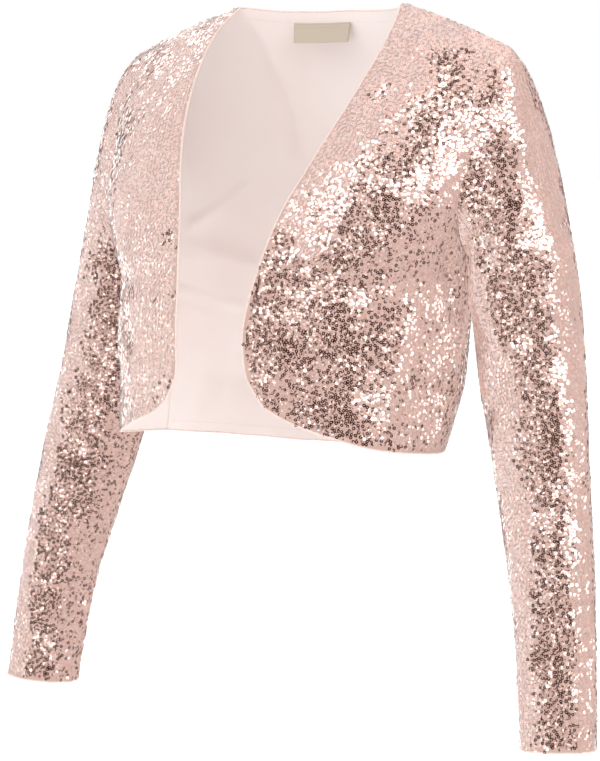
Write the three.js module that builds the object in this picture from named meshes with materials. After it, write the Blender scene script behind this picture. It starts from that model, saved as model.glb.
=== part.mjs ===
// A cropped, open-fronted evening jacket (a shrug) with long sleeves, in the round form of its wearer.
// Millimetres. +Z is up, -Y is the front and +X is the wearer's left. The origin lies midway between the two
// points where the shoulder seams meet the neckline. Cut pieces: back, two fronts, two sleeves, the lining
// of the back and a neck label. Each piece is a thin wall of cloth, and neighbours stop 0.3 mm apart at a seam.
import * as THREE from "three";

// ---- Driving dimensions --------------------------------------------------------------------------
const CLOTH = 1.2; // thickness of the outer cloth
const LINING = 1.0; // thickness of the lining and of the label
const GAP = 0.3; // between neighbours along a seam, and between one layer and the next
const NECK_HALF = 84; // from the centre to where a shoulder seam meets the neckline
const SHOULDER = { x: 193, y: -4, z: -39 }; // outer end of a shoulder seam
const SHOULDER_RISE = 2.5; // how far the shoulder seam arches above a straight line
const UNDERARM_Z = -218; // where the side seam meets the armhole
const CHEST_DIP = 16; // how far below that the line across the chest and the back lies away from the side
const LINING_INSET = 0.16; // how far the lining stops short of the edges of the back, in steps of its grid
const MOST_MITRE = 2.4; // how much longer than the wall's thickness a mitred seam may be
// The neck label: its size, how far its top lies below the neck edge and aside of the centre towards the
// wearer's right, its grid, how far it leans inwards as it hangs (degrees), and how much it bows.
const LABEL = { wide: 56, tall: 17.7, below: 10.6, aside: 30, columns: 8, rows: 4, lean: 16, bow: 1 };

// How many steps each panel has. The lower rows run from the hem to the underarm, and the upper ones run from
// there to the shoulder.
const LOWER_ROWS = 10;
const UPPER_ROWS = 12;
const FRONT_COLUMNS = 12;
const NECK_COLUMNS = 5;
const CAP_ROWS = 8;
const SLEEVE_ROWS = 17;

// Level sections of the bodice: half its width, and where its front and back stand.
const BODICE = [
  { z: -380, wide: 155, front: -156, back: 32 },
  { z: -350, wide: 158.5, front: -158.5, back: 50 },
  { z: -320, wide: 161, front: -160, back: 69 },
  { z: -270, wide: 163, front: -163, back: 79 },
  { z: -218, wide: 166, front: -151, back: 83 },
];
// The bottom of a front, by the angle round the bodice from the centre front.
const FRONT_HEM = [
  { angle: 19, z: -332 },
  { angle: 26, z: -343 },
  { angle: 33, z: -349.5 },
  { angle: 40, z: -355 },
  { angle: 53, z: -363.5 },
  { angle: 65, z: -368 },
  { angle: 90, z: -372 },
  { angle: 110, z: -373 },
];
const BACK_HEM_Z = -380; // at the centre back
const SIDE_SEAM = { hem: 110, underarm: 103.8 }; // angles round the bodice
// The front edge below the underarm line, by its distance from the centre.
const FRONT_EDGE = [
  { z: -332, x: 51 },
  { z: -320, x: 42.5 },
  { z: -308, x: 36.5 },
  { z: -290, x: 34.5 },
  { z: -270, x: 34.5 },
  { z: -245, x: 37 },
  { z: -218, x: 41.5 },
];
// The front edge above it, on its way to the neck.
const NECKLINE = [
  { x: 41.5, y: -147.5, z: -218 },
  { x: 51.4, y: -132, z: -176 },
  { x: 68.3, y: -108, z: -130 },
  { x: 81.4, y: -82, z: -90 },
  { x: 90, y: -51, z: -50 },
  { x: 91, y: -24, z: -20 },
];
const CENTRE_BACK = [
  { x: 0, y: 86, z: -160 },
  { x: 0, y: 84, z: -100 },
  { x: 0, y: 70, z: -48 },
];
const BACK_NECK = [
  { x: 0, y: 48, z: -3 },
  { x: 32, y: 44, z: -3.5 },
  { x: 62, y: 28, z: -3 },
];
// The armhole, from the underarm up to the shoulder, before and behind.
const ARMHOLE_FRONT = [
  { x: 165.5, y: -34, z: -198 },
  { x: 174, y: -53, z: -166 },
  { x: 184.5, y: -49, z: -122 },
  { x: 191, y: -37, z: -80 },
  { x: 192.5, y: -22, z: -52 },
];
const ARMHOLE_BACK = [
  { x: 165, y: 14, z: -199 },
  { x: 176, y: 31, z: -163 },
  { x: 185, y: 37, z: -118 },
  { x: 190.5, y: 28, z: -77 },
  { x: 192.5, y: 14, z: -51 },
];
// Sections of a sleeve: how far down, its centre, its two half breadths, its turn in degrees, and how nearly
// square to the arm the ring stands (0 is level). The first row only leads the curve in: the cap ends at the
// second.
const SLEEVE = [
  { down: 200, x: 196.5, y: 0, wide: 47, deep: 42, turn: -8, square: 0 },
  { down: 250, x: 209.5, y: -4, wide: 48.5, deep: 42, turn: -10, square: 0 },
  { down: 325, x: 222.5, y: -11, wide: 47.5, deep: 37, turn: -12, square: 0.2 },
  { down: 400, x: 239, y: -23, wide: 43, deep: 32, turn: -15, square: 0.5 },
  { down: 500, x: 259.5, y: -39, wide: 35.5, deep: 30, turn: -12, square: 0.8 },
  { down: 606, x: 272, y: -53, wide: 32, deep: 28.5, turn: -8, square: 1 },
];
// The way a sleeve sets off from its seam, at the underarm and at the shoulder.
const SLEEVE_START = {
  underarm: new THREE.Vector3(1, 0, -0.2),
  shoulder: new THREE.Vector3(0.85, 0, -0.53),
};
const SLEEVE_REACH = { underarm: 0.9, shoulder: 0.36 }; // how strongly it does so
// The largest folds: each a soft trough (depth below 0) or ridge along a line, where the cloth is pulled.
const FOLDS = [
  { on: "bodice", from: [150, -60, -235], to: [105, -140, -285], width: 16, depth: -3 },
  { on: "bodice", from: [-150, -60, -232], to: [-112, -134, -276], width: 15, depth: -2.6 },
  { on: "bodice", from: [140, 50, -225], to: [70, 78, -280], width: 16, depth: -3 },
  { on: "bodice", from: [-140, 48, -230], to: [-60, 78, -262], width: 16, depth: -2.6 },
  { on: "bodice", from: [72, -146, -365], to: [84, -142, -290], width: 12, depth: -2 },
  { on: "bodice", from: [122, -108, -372], to: [130, -100, -310], width: 13, depth: 2.2 },
  { on: "bodice", from: [-88, -136, -365], to: [-95, -134, -300], width: 13, depth: 2 },
  { on: "bodice", from: [-130, -98, -372], to: [-134, -96, -320], width: 12, depth: -1.8 },
  { on: "bodice", from: [60, 32, -377], to: [52, 56, -315], width: 16, depth: -2.2 },
  { on: "bodice", from: [-46, 34, -377], to: [-50, 56, -310], width: 17, depth: 2 },
  { on: "bodice", from: [118, 8, -377], to: [124, 30, -305], width: 15, depth: -2.2 },
  { on: "bodice", from: [-112, 12, -377], to: [-116, 32, -315], width: 15, depth: -2 },
  { on: "sleeve", from: [196, -45, -205], to: [232, -46, -268], width: 12, depth: -2.6 },
  { on: "sleeve", from: [-198, -46, -210], to: [-236, -44, -262], width: 12, depth: -2.4 },
  { on: "sleeve", from: [190, -36, -345], to: [238, -56, -318], width: 11, depth: -2.2 },
  { on: "sleeve", from: [-190, -35, -342], to: [-236, -56, -322], width: 11, depth: -1.9 },
  { on: "sleeve", from: [206, 4, -372], to: [240, 18, -350], width: 12, depth: -2.2 },
  { on: "sleeve", from: [-206, 4, -368], to: [-241, 18, -352], width: 12, depth: -2 },
  { on: "sleeve", from: [226, -62, -452], to: [262, -66, -470], width: 12, depth: -1.6 },
  { on: "sleeve", from: [-228, -60, -478], to: [-262, -66, -456], width: 12, depth: -1.6 },
];
const FOLD_FADE = 22; // a fold has died out where it meets an armhole seam, and is whole this far from it

// ---- Reading tables and curves -------------------------------------------------------------------
const vector = (p) => new THREE.Vector3(p.x, p.y, p.z);
const mix = THREE.MathUtils.lerp;
const radians = THREE.MathUtils.degToRad;

function hermite(a, fromA, b, toB, t) {
  const t2 = t * t;
  const t3 = t2 * t;
  return a * (2 * t3 - 3 * t2 + 1) + fromA * (t3 - 2 * t2 + t) + b * (3 * t2 - 2 * t3) + toB * (t3 - t2);
}

function hermitePoint(a, fromA, b, toB, t) {
  const along = (axis) => hermite(a[axis], fromA[axis], b[axis], toB[axis], t);
  return new THREE.Vector3(along("x"), along("y"), along("z"));
}

// Reads one column of a table at any value of its key column, along a smooth curve through the rows.
function read(table, key, column, at) {
  const last = table.length - 1;
  let i = 1;
  while (i < last && at > table[i][key]) i++;
  const slope = (k) => {
    const before = table[Math.max(k - 1, 0)];
    const after = table[Math.min(k + 1, last)];
    return (after[column] - before[column]) / (after[key] - before[key]);
  };
  const span = table[i][key] - table[i - 1][key];
  const t = THREE.MathUtils.clamp((at - table[i - 1][key]) / span, 0, 1);
  return hermite(table[i - 1][column], slope(i - 1) * span, table[i][column], slope(i) * span, t);
}

// A smooth curve through points, read by the share of its length.
function curveThrough(points) {
  const curve = new THREE.CatmullRomCurve3(points.map(vector), false, "centripetal");
  return (share) => curve.getPointAt(share);
}

// ---- The lines that the pieces are cut to --------------------------------------------------------
// A point of the bodice's level section at z. The angle is 0 at the centre front and 180 at the centre back.
function onBodice(angle, z) {
  const front = read(BODICE, "z", "front", z);
  const back = read(BODICE, "z", "back", z);
  const turn = radians(angle);
  const x = read(BODICE, "z", "wide", z) * Math.sin(turn);
  return new THREE.Vector3(x, mix(front, back, (1 - Math.cos(turn)) / 2), z);
}

function edgeAngle(z) {
  const sine = read(FRONT_EDGE, "z", "x", z) / read(BODICE, "z", "wide", z);
  return THREE.MathUtils.radToDeg(Math.asin(sine));
}

// The height of the line where the lower rows end and the upper rows begin.
const chestZ = (u) => UNDERARM_Z - CHEST_DIP * (1 - u ** 3);

const neckPoint = new THREE.Vector3(NECK_HALF, 0, 0);
const underarm = onBodice(SIDE_SEAM.underarm, UNDERARM_Z);
const armholeFront = curveThrough([underarm, ...ARMHOLE_FRONT, SHOULDER]);
const armholeBack = curveThrough([underarm, ...ARMHOLE_BACK, SHOULDER]);
const neckline = curveThrough([onBodice(edgeAngle(chestZ(0)), chestZ(0)), ...NECKLINE, neckPoint]);
const centreBack = curveThrough([onBodice(180, chestZ(0)), ...CENTRE_BACK, BACK_NECK[0]]);
const backNeck = curveThrough([...BACK_NECK, neckPoint]);

function shoulderSeam(share) {
  const point = neckPoint.clone().lerp(vector(SHOULDER), share);
  point.z += SHOULDER_RISE * Math.sin(Math.PI * share);
  return point;
}

// ---- The pieces as grids of points ---------------------------------------------------------------
// Rows run up from the hem, and columns from the centre (u = 0) to the side (u = 1).
const BACK_HALF = NECK_COLUMNS + FRONT_COLUMNS;

// The way the cloth arrives at the shoulder seam before and behind, and at the back of the neck.
const FRONT_LEAN = new THREE.Vector3(0, 0.5, 0.1);
const AT_SHOULDER = new THREE.Vector3(0, -0.9, 0.2);
const AT_NECK = new THREE.Vector3(0, -0.13, 0.26);

// Above the chest line each thread of cloth rises from that line and leans over to the top edge, and the two
// side edges draw the threads near them to themselves.
function upperPoint(u, v, { angleAt, top, lean, sides }) {
  const thread = (s) => {
    const low = onBodice(angleAt(s), chestZ(s));
    const below = onBodice(angleAt(s), chestZ(s) - 8);
    const reach = low.distanceTo(top(s));
    const rise = low.clone().sub(below).setLength(0.95 * reach);
    return hermitePoint(low, rise, top(s), lean(s).clone().multiplyScalar(reach), v);
  };
  const [centre, armhole] = sides;
  const toCentre = centre(v).sub(thread(0)).multiplyScalar(1 - THREE.MathUtils.smoothstep(u, 0, 1));
  const toArmhole = armhole(v).sub(thread(1)).multiplyScalar(u);
  return thread(u).add(toCentre).add(toArmhole);
}

function frontPoint(u, row) {
  const angleAt = (s) => mix(edgeAngle(chestZ(0)), SIDE_SEAM.underarm, s);
  if (row > LOWER_ROWS) {
    const form = { angleAt, top: shoulderSeam, lean: () => FRONT_LEAN, sides: [neckline, armholeFront] };
    return upperPoint(u, (row - LOWER_ROWS) / UPPER_ROWS, form);
  }
  const t = row / LOWER_ROWS;
  const corner = FRONT_HEM[0];
  const hemAngle = mix(corner.angle, SIDE_SEAM.hem, u);
  const edgeBend = edgeAngle(mix(corner.z, chestZ(0), t)) - mix(corner.angle, angleAt(0), t);
  const angle = mix(hemAngle, angleAt(u), t) + (1 - u) * edgeBend;
  return onBodice(angle, mix(read(FRONT_HEM, "angle", "z", hemAngle), chestZ(u), t));
}

function backTop(s) {
  const neckShare = NECK_COLUMNS / BACK_HALF;
  return s <= neckShare ? backNeck(s / neckShare) : shoulderSeam((s - neckShare) / (1 - neckShare));
}

function backPoint(u, row) {
  const angleAt = (s) => mix(180, SIDE_SEAM.underarm, s);
  if (row > LOWER_ROWS) {
    const lean = (s) => AT_NECK.clone().lerp(AT_SHOULDER, THREE.MathUtils.smoothstep(s, 0, 0.4));
    const form = { angleAt, top: backTop, lean, sides: [centreBack, armholeBack] };
    return upperPoint(u, (row - LOWER_ROWS) / UPPER_ROWS, form);
  }
  const t = row / LOWER_ROWS;
  const hemZ = mix(BACK_HEM_Z, FRONT_HEM[FRONT_HEM.length - 1].z, u * u);
  return onBodice(mix(mix(180, SIDE_SEAM.hem, u), angleAt(u), t), mix(hemZ, chestZ(u), t));
}

function armDirection(down) {
  const centre = (at) => new THREE.Vector3(read(SLEEVE, "down", "x", at), read(SLEEVE, "down", "y", at), -at);
  return centre(down + 5).sub(centre(down - 5)).normalize();
}

function ringPoint(down, angle) {
  const value = (name) => read(SLEEVE, "down", name, down);
  const spot = new THREE.Vector3(value("wide") * Math.cos(angle), value("deep") * Math.sin(angle), 0);
  spot.applyAxisAngle(new THREE.Vector3(0, 0, 1), radians(value("turn")));
  const arm = armDirection(down);
  spot.z = (-(spot.x * arm.x + spot.y * arm.y) / arm.z) * value("square");
  return spot.add(new THREE.Vector3(value("x"), value("y"), -down));
}

// A sleeve's columns go round from the underarm by the back, and its rows down from the armhole seam. The cap
// curls over into the first ring of the arm.
function sleevePoint(column, row) {
  const share = 2 - column / UPPER_ROWS; // 0 and 2 at the underarm, 1 at the shoulder
  const angle = (share - 1) * Math.PI;
  const first = SLEEVE[1].down;
  const last = SLEEVE[SLEEVE.length - 1].down;
  if (row > CAP_ROWS) return ringPoint(mix(first, last, (row - CAP_ROWS) / SLEEVE_ROWS), angle);
  const from = share <= 1 ? armholeFront(share) : armholeBack(2 - share);
  const to = ringPoint(first, angle);
  const reach = from.distanceTo(to);
  const height = (from.z - UNDERARM_Z) / (SHOULDER.z - UNDERARM_Z);
  const out = SLEEVE_START.underarm.clone().lerp(SLEEVE_START.shoulder, height);
  out.setLength(mix(SLEEVE_REACH.underarm, SLEEVE_REACH.shoulder, height) * reach);
  return hermitePoint(from, out, to, armDirection(first).setLength(0.9 * reach), row / CAP_ROWS);
}

function gridOf(columns, rows, point) {
  const line = (row) => Array.from({ length: columns }, (_, column) => point(column, row));
  return Array.from({ length: rows + 1 }, (_, row) => line(row));
}

const mirroredPoint = (p) => new THREE.Vector3(-p.x, p.y, p.z);
const mirrored = (grid) => grid.map((row) => row.map(mirroredPoint).reverse());

const BODY_ROWS = LOWER_ROWS + UPPER_ROWS;
const front = gridOf(FRONT_COLUMNS + 1, BODY_ROWS, (column, row) => frontPoint(column / FRONT_COLUMNS, row));
const back = gridOf(2 * BACK_HALF + 1, BODY_ROWS, (column, row) => {
  const u = (BACK_HALF - column) / BACK_HALF;
  return u >= 0 ? backPoint(u, row) : mirroredPoint(backPoint(-u, row));
});
const sleeve = gridOf(2 * UPPER_ROWS, CAP_ROWS + SLEEVE_ROWS, sleevePoint);
const pieces = [
  { name: "back", on: "bodice", grid: back },
  { name: "front_left", on: "bodice", grid: front },
  { name: "front_right", on: "bodice", grid: mirrored(front) },
  { name: "sleeve_left", on: "sleeve", grid: sleeve, tube: true },
  { name: "sleeve_right", on: "sleeve", grid: mirrored(sleeve), tube: true },
];

// ---- Where each piece faces, and where it meets its neighbours -----------------------------------
function neighbour(piece, column, row) {
  const { grid, tube } = piece;
  const width = grid[0].length;
  if (row < 0 || row >= grid.length) return null;
  if (tube) return grid[row][(column + width) % width];
  return column < 0 || column >= width ? null : grid[row][column];
}

// The outward direction of one piece at a grid point: the mean of the cells round it.
function facing(piece, column, row) {
  const sum = new THREE.Vector3();
  for (const right of [column - 1, column]) {
    for (const up of [row - 1, row]) {
      const corners = [[0, 0], [1, 0], [1, 1], [0, 1]].map(([i, j]) => neighbour(piece, right + i, up + j));
      if (corners.includes(null)) continue;
      const [a, b, c, d] = corners;
      sum.add(c.clone().sub(a).cross(d.clone().sub(b)));
    }
  }
  return sum.normalize();
}

// The way from a grid point into its piece.
function inward(piece, column, row) {
  const here = piece.grid[row][column];
  const steps = [[1, 0], [-1, 0], [0, 1], [0, -1]];
  const around = steps.map(([i, j]) => neighbour(piece, column + i, row + j)).filter(Boolean);
  const sum = new THREE.Vector3();
  for (const point of around) sum.add(point.clone().sub(here).normalize());
  return sum;
}

// Gathers the grid points that several pieces share along a seam.
function findSeams() {
  const seams = new Map();
  for (const piece of pieces) {
    piece.grid.forEach((line, row) => line.forEach((point, column) => {
      const key = [point.x, point.y, point.z].map((value) => Math.round(value * 100)).join();
      if (!seams.has(key)) seams.set(key, []);
      seams.get(key).push({ piece, column, row, facing: facing(piece, column, row) });
    }));
  }
  return [...seams.values()];
}

// At a seam the wall is mitred: bodice and sleeve share one direction, lengthened to keep each wall as thick.
function mitre(places) {
  const sides = ["bodice", "sleeve"].map((on) => {
    const sum = new THREE.Vector3();
    for (const place of places) if (place.piece.on === on) sum.add(place.facing);
    return sum.normalize();
  }).filter((side) => side.lengthSq() > 0);
  const sum = sides.reduce((total, side) => total.clone().add(side)).normalize();
  return sum.multiplyScalar(Math.min(1 / sum.dot(sides[0]), MOST_MITRE));
}

function foldDepth(point, on) {
  const nearest = new THREE.Vector3();
  let depth = 0;
  for (const fold of FOLDS) {
    if (fold.on !== on) continue;
    const line = new THREE.Line3(new THREE.Vector3(...fold.from), new THREE.Vector3(...fold.to));
    const away = line.closestPointToPoint(point, true, nearest).distanceTo(point);
    depth += fold.depth * Math.exp(-((away / fold.width) ** 2));
  }
  return depth;
}

const armholePoints = sleeve[0].concat(mirrored(sleeve)[0]).map((point) => point.clone());

function awayFromArmhole(point) {
  const nearest = Math.min(...armholePoints.map((seam) => seam.distanceTo(point)));
  return THREE.MathUtils.smoothstep(nearest, 0, FOLD_FADE);
}

for (const places of findSeams()) {
  const { piece, column, row } = places[0];
  const point = piece.grid[row][column].clone();
  const depth = foldDepth(point, piece.on) * awayFromArmhole(point);
  const moved = point.addScaledVector(mitre(places), depth);
  for (const place of places) place.piece.grid[place.row][place.column] = moved.clone();
}

// ---- Walls of cloth ------------------------------------------------------------------------------
// The closed wall between two grids of points, one on each face of the cloth.
function wallBetween(outer, inner, tube = false) {
  const width = outer[0].length;
  const rows = outer.length - 1;
  const columns = tube ? width : width - 1;
  const at = (column, row) => row * width + (column % width);
  const under = width * outer.length;
  const faces = [];
  const rim = (from, to) => faces.push(to, from, from + under, to, from + under, to + under);
  for (let row = 0; row < rows; row++) {
    for (let column = 0; column < columns; column++) {
      const [a, b] = [at(column, row), at(column + 1, row)];
      const [d, c] = [at(column, row + 1), at(column + 1, row + 1)];
      faces.push(a, b, c, a, c, d);
      faces.push(a + under, c + under, b + under, a + under, d + under, c + under);
    }
    if (tube) continue;
    rim(at(columns, row), at(columns, row + 1));
    rim(at(0, row + 1), at(0, row));
  }
  for (let column = 0; column < columns; column++) {
    rim(at(column, 0), at(column + 1, 0));
    rim(at(column + 1, rows), at(column, rows));
  }
  const geometry = new THREE.BufferGeometry();
  const corners = [...outer.flat(), ...inner.flat()].flatMap((p) => [p.x, p.y, p.z]);
  geometry.setAttribute("position", new THREE.Float32BufferAttribute(corners, 3));
  geometry.setIndex(faces);
  geometry.computeVertexNormals();
  return geometry;
}

// Moves every point of a grid along its own direction.
function shifted(grid, directions, distance) {
  const moved = (point, column, row) => point.clone().addScaledVector(directions[row][column], distance);
  return grid.map((line, row) => line.map((point, column) => moved(point, column, row)));
}

const SATIN = new THREE.MeshStandardMaterial({ color: 0xf0dcd4, roughness: 0.5 });
const SEQUIN_CLOTH = new THREE.MeshStandardMaterial({ color: 0xcaa293, roughness: 0.4 });
const WOVEN = new THREE.MeshStandardMaterial({ color: 0xe6d9c4, roughness: 0.9 });
const shrug = new THREE.Group();
shrug.name = "shrug";

function addWall(name, outer, inner, material, tube) {
  const mesh = new THREE.Mesh(wallBetween(outer, inner, tube), material);
  mesh.name = name;
  shrug.add(mesh);
}

// The outer cloth. Along a seam each piece draws back by half the gap.
for (const piece of pieces) {
  piece.thick = piece.grid.map((line) => line.map(() => null));
  piece.middle = piece.grid.map((line) => line.map((point) => point.clone()));
}
for (const places of findSeams()) {
  const direction = mitre(places);
  const ways = places.map(({ piece, column, row }) => inward(piece, column, row).normalize());
  places.forEach(({ piece, column, row }, own) => {
    piece.thick[row][column] = direction;
    if (places.length === 1) return;
    const others = new THREE.Vector3();
    ways.forEach((way, other) => other !== own && others.addScaledVector(way, 1 / (places.length - 1)));
    piece.middle[row][column].addScaledVector(ways[own].clone().sub(others).normalize(), GAP / 2);
  });
}
for (const { name, middle, thick, tube } of pieces) {
  addWall(name, shifted(middle, thick, CLOTH / 2), shifted(middle, thick, -CLOTH / 2), SEQUIN_CLOTH, tube);
}

// Reads a grid between its points, over the same two triangles that each cell of a wall has.
function onGrid(grid, column, row) {
  const left = Math.min(Math.floor(column), grid[0].length - 2);
  const low = Math.min(Math.floor(row), grid.length - 2);
  const [s, t] = [column - left, row - low];
  const [a, b, c, d] = [grid[low][left], grid[low][left + 1], grid[low + 1][left + 1], grid[low + 1][left]];
  const point = a.clone().addScaledVector(c.clone().sub(a), Math.min(s, t));
  const rest = s > t ? b.clone().sub(a) : d.clone().sub(a);
  return point.addScaledVector(rest, Math.abs(s - t));
}

// The lining of the back lies inside it and stops short of its edges.
const backPiece = pieces.find((piece) => piece.name === "back");
const inset = (step, steps) => THREE.MathUtils.clamp(step, LINING_INSET, steps - LINING_INSET);
const insetGrid = (grid) => gridOf(2 * BACK_HALF + 1, BODY_ROWS, (column, row) =>
  onGrid(grid, inset(column, 2 * BACK_HALF), inset(row, BODY_ROWS)));
const liningThick = insetGrid(backPiece.thick);
const liningFace = shifted(insetGrid(backPiece.grid), liningThick, -(CLOTH / 2 + GAP));
const liningInside = shifted(liningFace, liningThick, -LINING);
addWall("lining_back", liningFace, liningInside, SATIN, false);

// The label is stitched to the lining along its top. It hangs from there a little inwards, clear of the
// lining.
const neckEdge = backPiece.grid[BODY_ROWS];
const columnPitch = neckEdge[BACK_HALF].distanceTo(neckEdge[BACK_HALF + 1]);
const rowPitch = neckEdge[BACK_HALF].distanceTo(backPiece.grid[BODY_ROWS - 2][BACK_HALF]) / 2;

function labelGrid(thickness) {
  const [lean, straight] = [Math.sin(radians(LABEL.lean)), Math.cos(radians(LABEL.lean))];
  return gridOf(LABEL.columns + 1, LABEL.rows, (column, row) => {
    const across = (column / LABEL.columns - 0.5) * LABEL.wide;
    const place = [BACK_HALF + (across + LABEL.aside) / columnPitch, BODY_ROWS - LABEL.below / rowPitch];
    const outwards = onGrid(liningThick, ...place);
    const level = outwards.clone().setZ(0).normalize();
    const down = level.clone().multiplyScalar(-lean).setZ(-straight);
    const inwards = level.clone().multiplyScalar(-straight).setZ(lean);
    const drop = 1 - row / LABEL.rows;
    const bow = LABEL.bow * drop * Math.cos((across / LABEL.wide) * Math.PI);
    const point = onGrid(liningInside, ...place).addScaledVector(outwards, -GAP);
    return point.addScaledVector(down, drop * LABEL.tall).addScaledVector(inwards, thickness + bow);
  });
}
addWall("label", labelGrid(0), labelGrid(LINING), WOVEN, false);

export default shrug;
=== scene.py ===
# %% [markdown]
# # A sequin shrug
# A shrug is a short jacket that ends above the waist and stays open at the front. This one is cut from fine
# net sewn all over with small rose gold sequins, and its back is lined with satin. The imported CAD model
# gives the frame: every cut piece of cloth here replaces the solid of the same piece, and keeps its form
# and place.

# %% The frame
import math

import bpy
import numpy as np
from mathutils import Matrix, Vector, noise


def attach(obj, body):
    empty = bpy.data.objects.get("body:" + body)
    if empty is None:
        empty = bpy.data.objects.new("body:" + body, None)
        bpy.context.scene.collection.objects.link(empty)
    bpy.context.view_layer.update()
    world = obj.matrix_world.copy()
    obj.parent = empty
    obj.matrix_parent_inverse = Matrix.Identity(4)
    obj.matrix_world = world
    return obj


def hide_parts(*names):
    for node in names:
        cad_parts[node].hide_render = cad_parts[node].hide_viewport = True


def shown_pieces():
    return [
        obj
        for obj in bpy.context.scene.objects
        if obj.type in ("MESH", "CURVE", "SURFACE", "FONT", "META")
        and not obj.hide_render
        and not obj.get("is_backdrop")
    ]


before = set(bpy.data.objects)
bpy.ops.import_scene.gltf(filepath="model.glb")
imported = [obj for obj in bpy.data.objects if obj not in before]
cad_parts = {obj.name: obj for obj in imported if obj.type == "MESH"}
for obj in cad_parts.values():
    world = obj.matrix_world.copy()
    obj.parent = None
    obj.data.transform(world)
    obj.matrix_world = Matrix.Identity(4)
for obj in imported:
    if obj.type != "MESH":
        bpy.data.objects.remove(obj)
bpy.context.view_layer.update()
MM = 0.001  # the tables below are in millimetres, and Blender works in metres
print("CAD nodes:", ", ".join(sorted(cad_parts)))

# %% [markdown]
# ## The camera
# A long lens from about two and a half metres away keeps the sleeves parallel, as a catalogue picture does.
# The camera stands to the wearer's left of the open front, a little above the middle of the garment.

# %% Camera
CAMERA_TURN = math.radians(35.0)
CAMERA_FALL = math.radians(5.12)
CAMERA_AWAY = 2.536  # from the point it looks at, in metres
AIM_ASIDE, AIM_HEIGHT = -0.0169, -0.3239  # that point, from the middle of the neck
SENSOR_WIDTH, LENS = 36.0, 174.8  # in millimetres

aim = Vector((math.cos(CAMERA_TURN), math.sin(CAMERA_TURN), 0.0)) * AIM_ASIDE
aim.z = AIM_HEIGHT
level = math.cos(CAMERA_FALL)
towards = Vector((math.sin(CAMERA_TURN) * level, -math.cos(CAMERA_TURN) * level, math.sin(CAMERA_FALL)))
camera_data = bpy.data.cameras.new("camera")
camera_data.sensor_fit = "HORIZONTAL"
camera_data.sensor_width = SENSOR_WIDTH
camera_data.lens = LENS
camera = bpy.data.objects.new("camera", camera_data)
camera.location = aim + towards * CAMERA_AWAY
camera.rotation_euler = towards.to_track_quat("Z", "Y").to_euler()
bpy.context.scene.collection.objects.link(camera)
bpy.context.scene.camera = camera
print("camera at", [round(value, 3) for value in camera.location])

# %% [markdown]
# ## Building node trees
# Materials, the studio's walls and the repeating pieces are all node trees. One helper adds a node, sets its
# options and plugs in its inputs: a socket makes a link, and anything else is a value. The others make what
# comes back often, such as sums, mixed colours and whole materials.

# %% Helpers for node trees
def add_node(tree, kind, inputs=None, **options):
    made = tree.nodes.new(kind)
    for name, value in options.items():
        setattr(made, name, value)
    for key, value in (inputs or {}).items():
        if isinstance(value, bpy.types.NodeSocket):
            tree.links.new(value, made.inputs[key])
        else:
            made.inputs[key].default_value = value
    return made


def math_node(tree, operation, *values):
    return add_node(tree, "ShaderNodeMath", dict(enumerate(values)), operation=operation).outputs[0]


def own_place(tree):
    return add_node(tree, "ShaderNodeTexCoord").outputs["Object"]


def patches(tree, vector, scale, detail):
    inputs = {"Vector": vector, "Scale": scale, "Detail": detail}
    return add_node(tree, "ShaderNodeTexNoise", inputs).outputs["Fac"]


def ramp_between(tree, value, low, high):
    """0 at low and 1 at high, and even in between."""
    made = add_node(tree, "ShaderNodeMapRange", {"Value": value, "From Min": low, "From Max": high})
    return made.outputs["Result"]


def mix_colour(tree, factor, first, second, blend="MIX"):
    """Mixes two colours, each a socket or (red, green, blue). They are a Mix node's inputs 6 and 7."""
    first, second = [(*colour, 1.0) if isinstance(colour, tuple) else colour for colour in (first, second)]
    inputs = {0: factor, 6: first, 7: second}
    return add_node(tree, "ShaderNodeMix", inputs, data_type="RGBA", blend_type=blend).outputs[2]


def colour_ramp(tree, factor, stops):
    """A colour ramp over the factor, with stops of (place, (red, green, blue))."""
    ramp = add_node(tree, "ShaderNodeValToRGB", {"Fac": factor})
    elements = ramp.color_ramp.elements
    while len(elements) < len(stops):
        elements.new(0.5)
    for element, (place, colour) in zip(elements, stops):
        element.position = place
        element.color = (*colour, 1.0)
    return ramp.outputs["Color"]


def new_material(name, **sockets):
    """A material with the given shader inputs, whose names have _ for each space."""
    material = bpy.data.materials.new(name)
    material.use_nodes = True
    shader = material.node_tree.nodes["Principled BSDF"]
    for key, value in sockets.items():
        shader.inputs[key.replace("_", " ")].default_value = value
    return material, material.node_tree, shader


def add_piece(name, data):
    piece = bpy.data.objects.new(name, data)
    bpy.context.scene.collection.objects.link(piece)
    return piece


# %% [markdown]
# ## The studio
# Sequins are tiny mirrors, so what they show is the room. Most of its walls are an even pale tone, which
# gives the calm stretches of the cloth. In its busy parts a noise breaks the wall into dark patches, which
# turn the sequins that face them brown, and windows, which turn others white. The further the balance of a
# part lies below 0, the more of it is dark, and above 0, the more of it is window. Each part is placed by its
# turn from the camera and its rise.

# %% Parts of the room
ROOM_PARTS = [  # turn and rise as (middle, reach to each side) in degrees, then balance, and how busy it is
    ((-36, 42), (11, 13), -0.6, 1.0),
    ((-46, 30), (-21, 18), -0.14, 1.0),
    ((-22, 38), (-6, 7), 0.12, 1.0),
    ((12, 22), (-5, 12), -0.75, 1.0),
    ((82, 32), (-2, 12), 0.16, 0.35),
    ((110, 22), (-20, 9), -0.4, 0.3),
    ((-104, 20), (2, 16), 0.12, 0.4),
    ((25, 50), (-24, 16), -0.2, 0.45),
    ((-1, 61), (35, 13), 0.7, 1.0),
    ((38, 18), (22, 14), 0.7, 1.0),
    ((-12, 42), (55, 9), -0.6, 1.0),
    ((180, 38), (-8, 28), -0.35, 1.0),
    ((180, 44), (32, 14), 0.6, 1.0),
]
PALE_SIDE = (-130, 62), (0, 90)
SOFT = 7.0  # degrees to either side of a part's border


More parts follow.
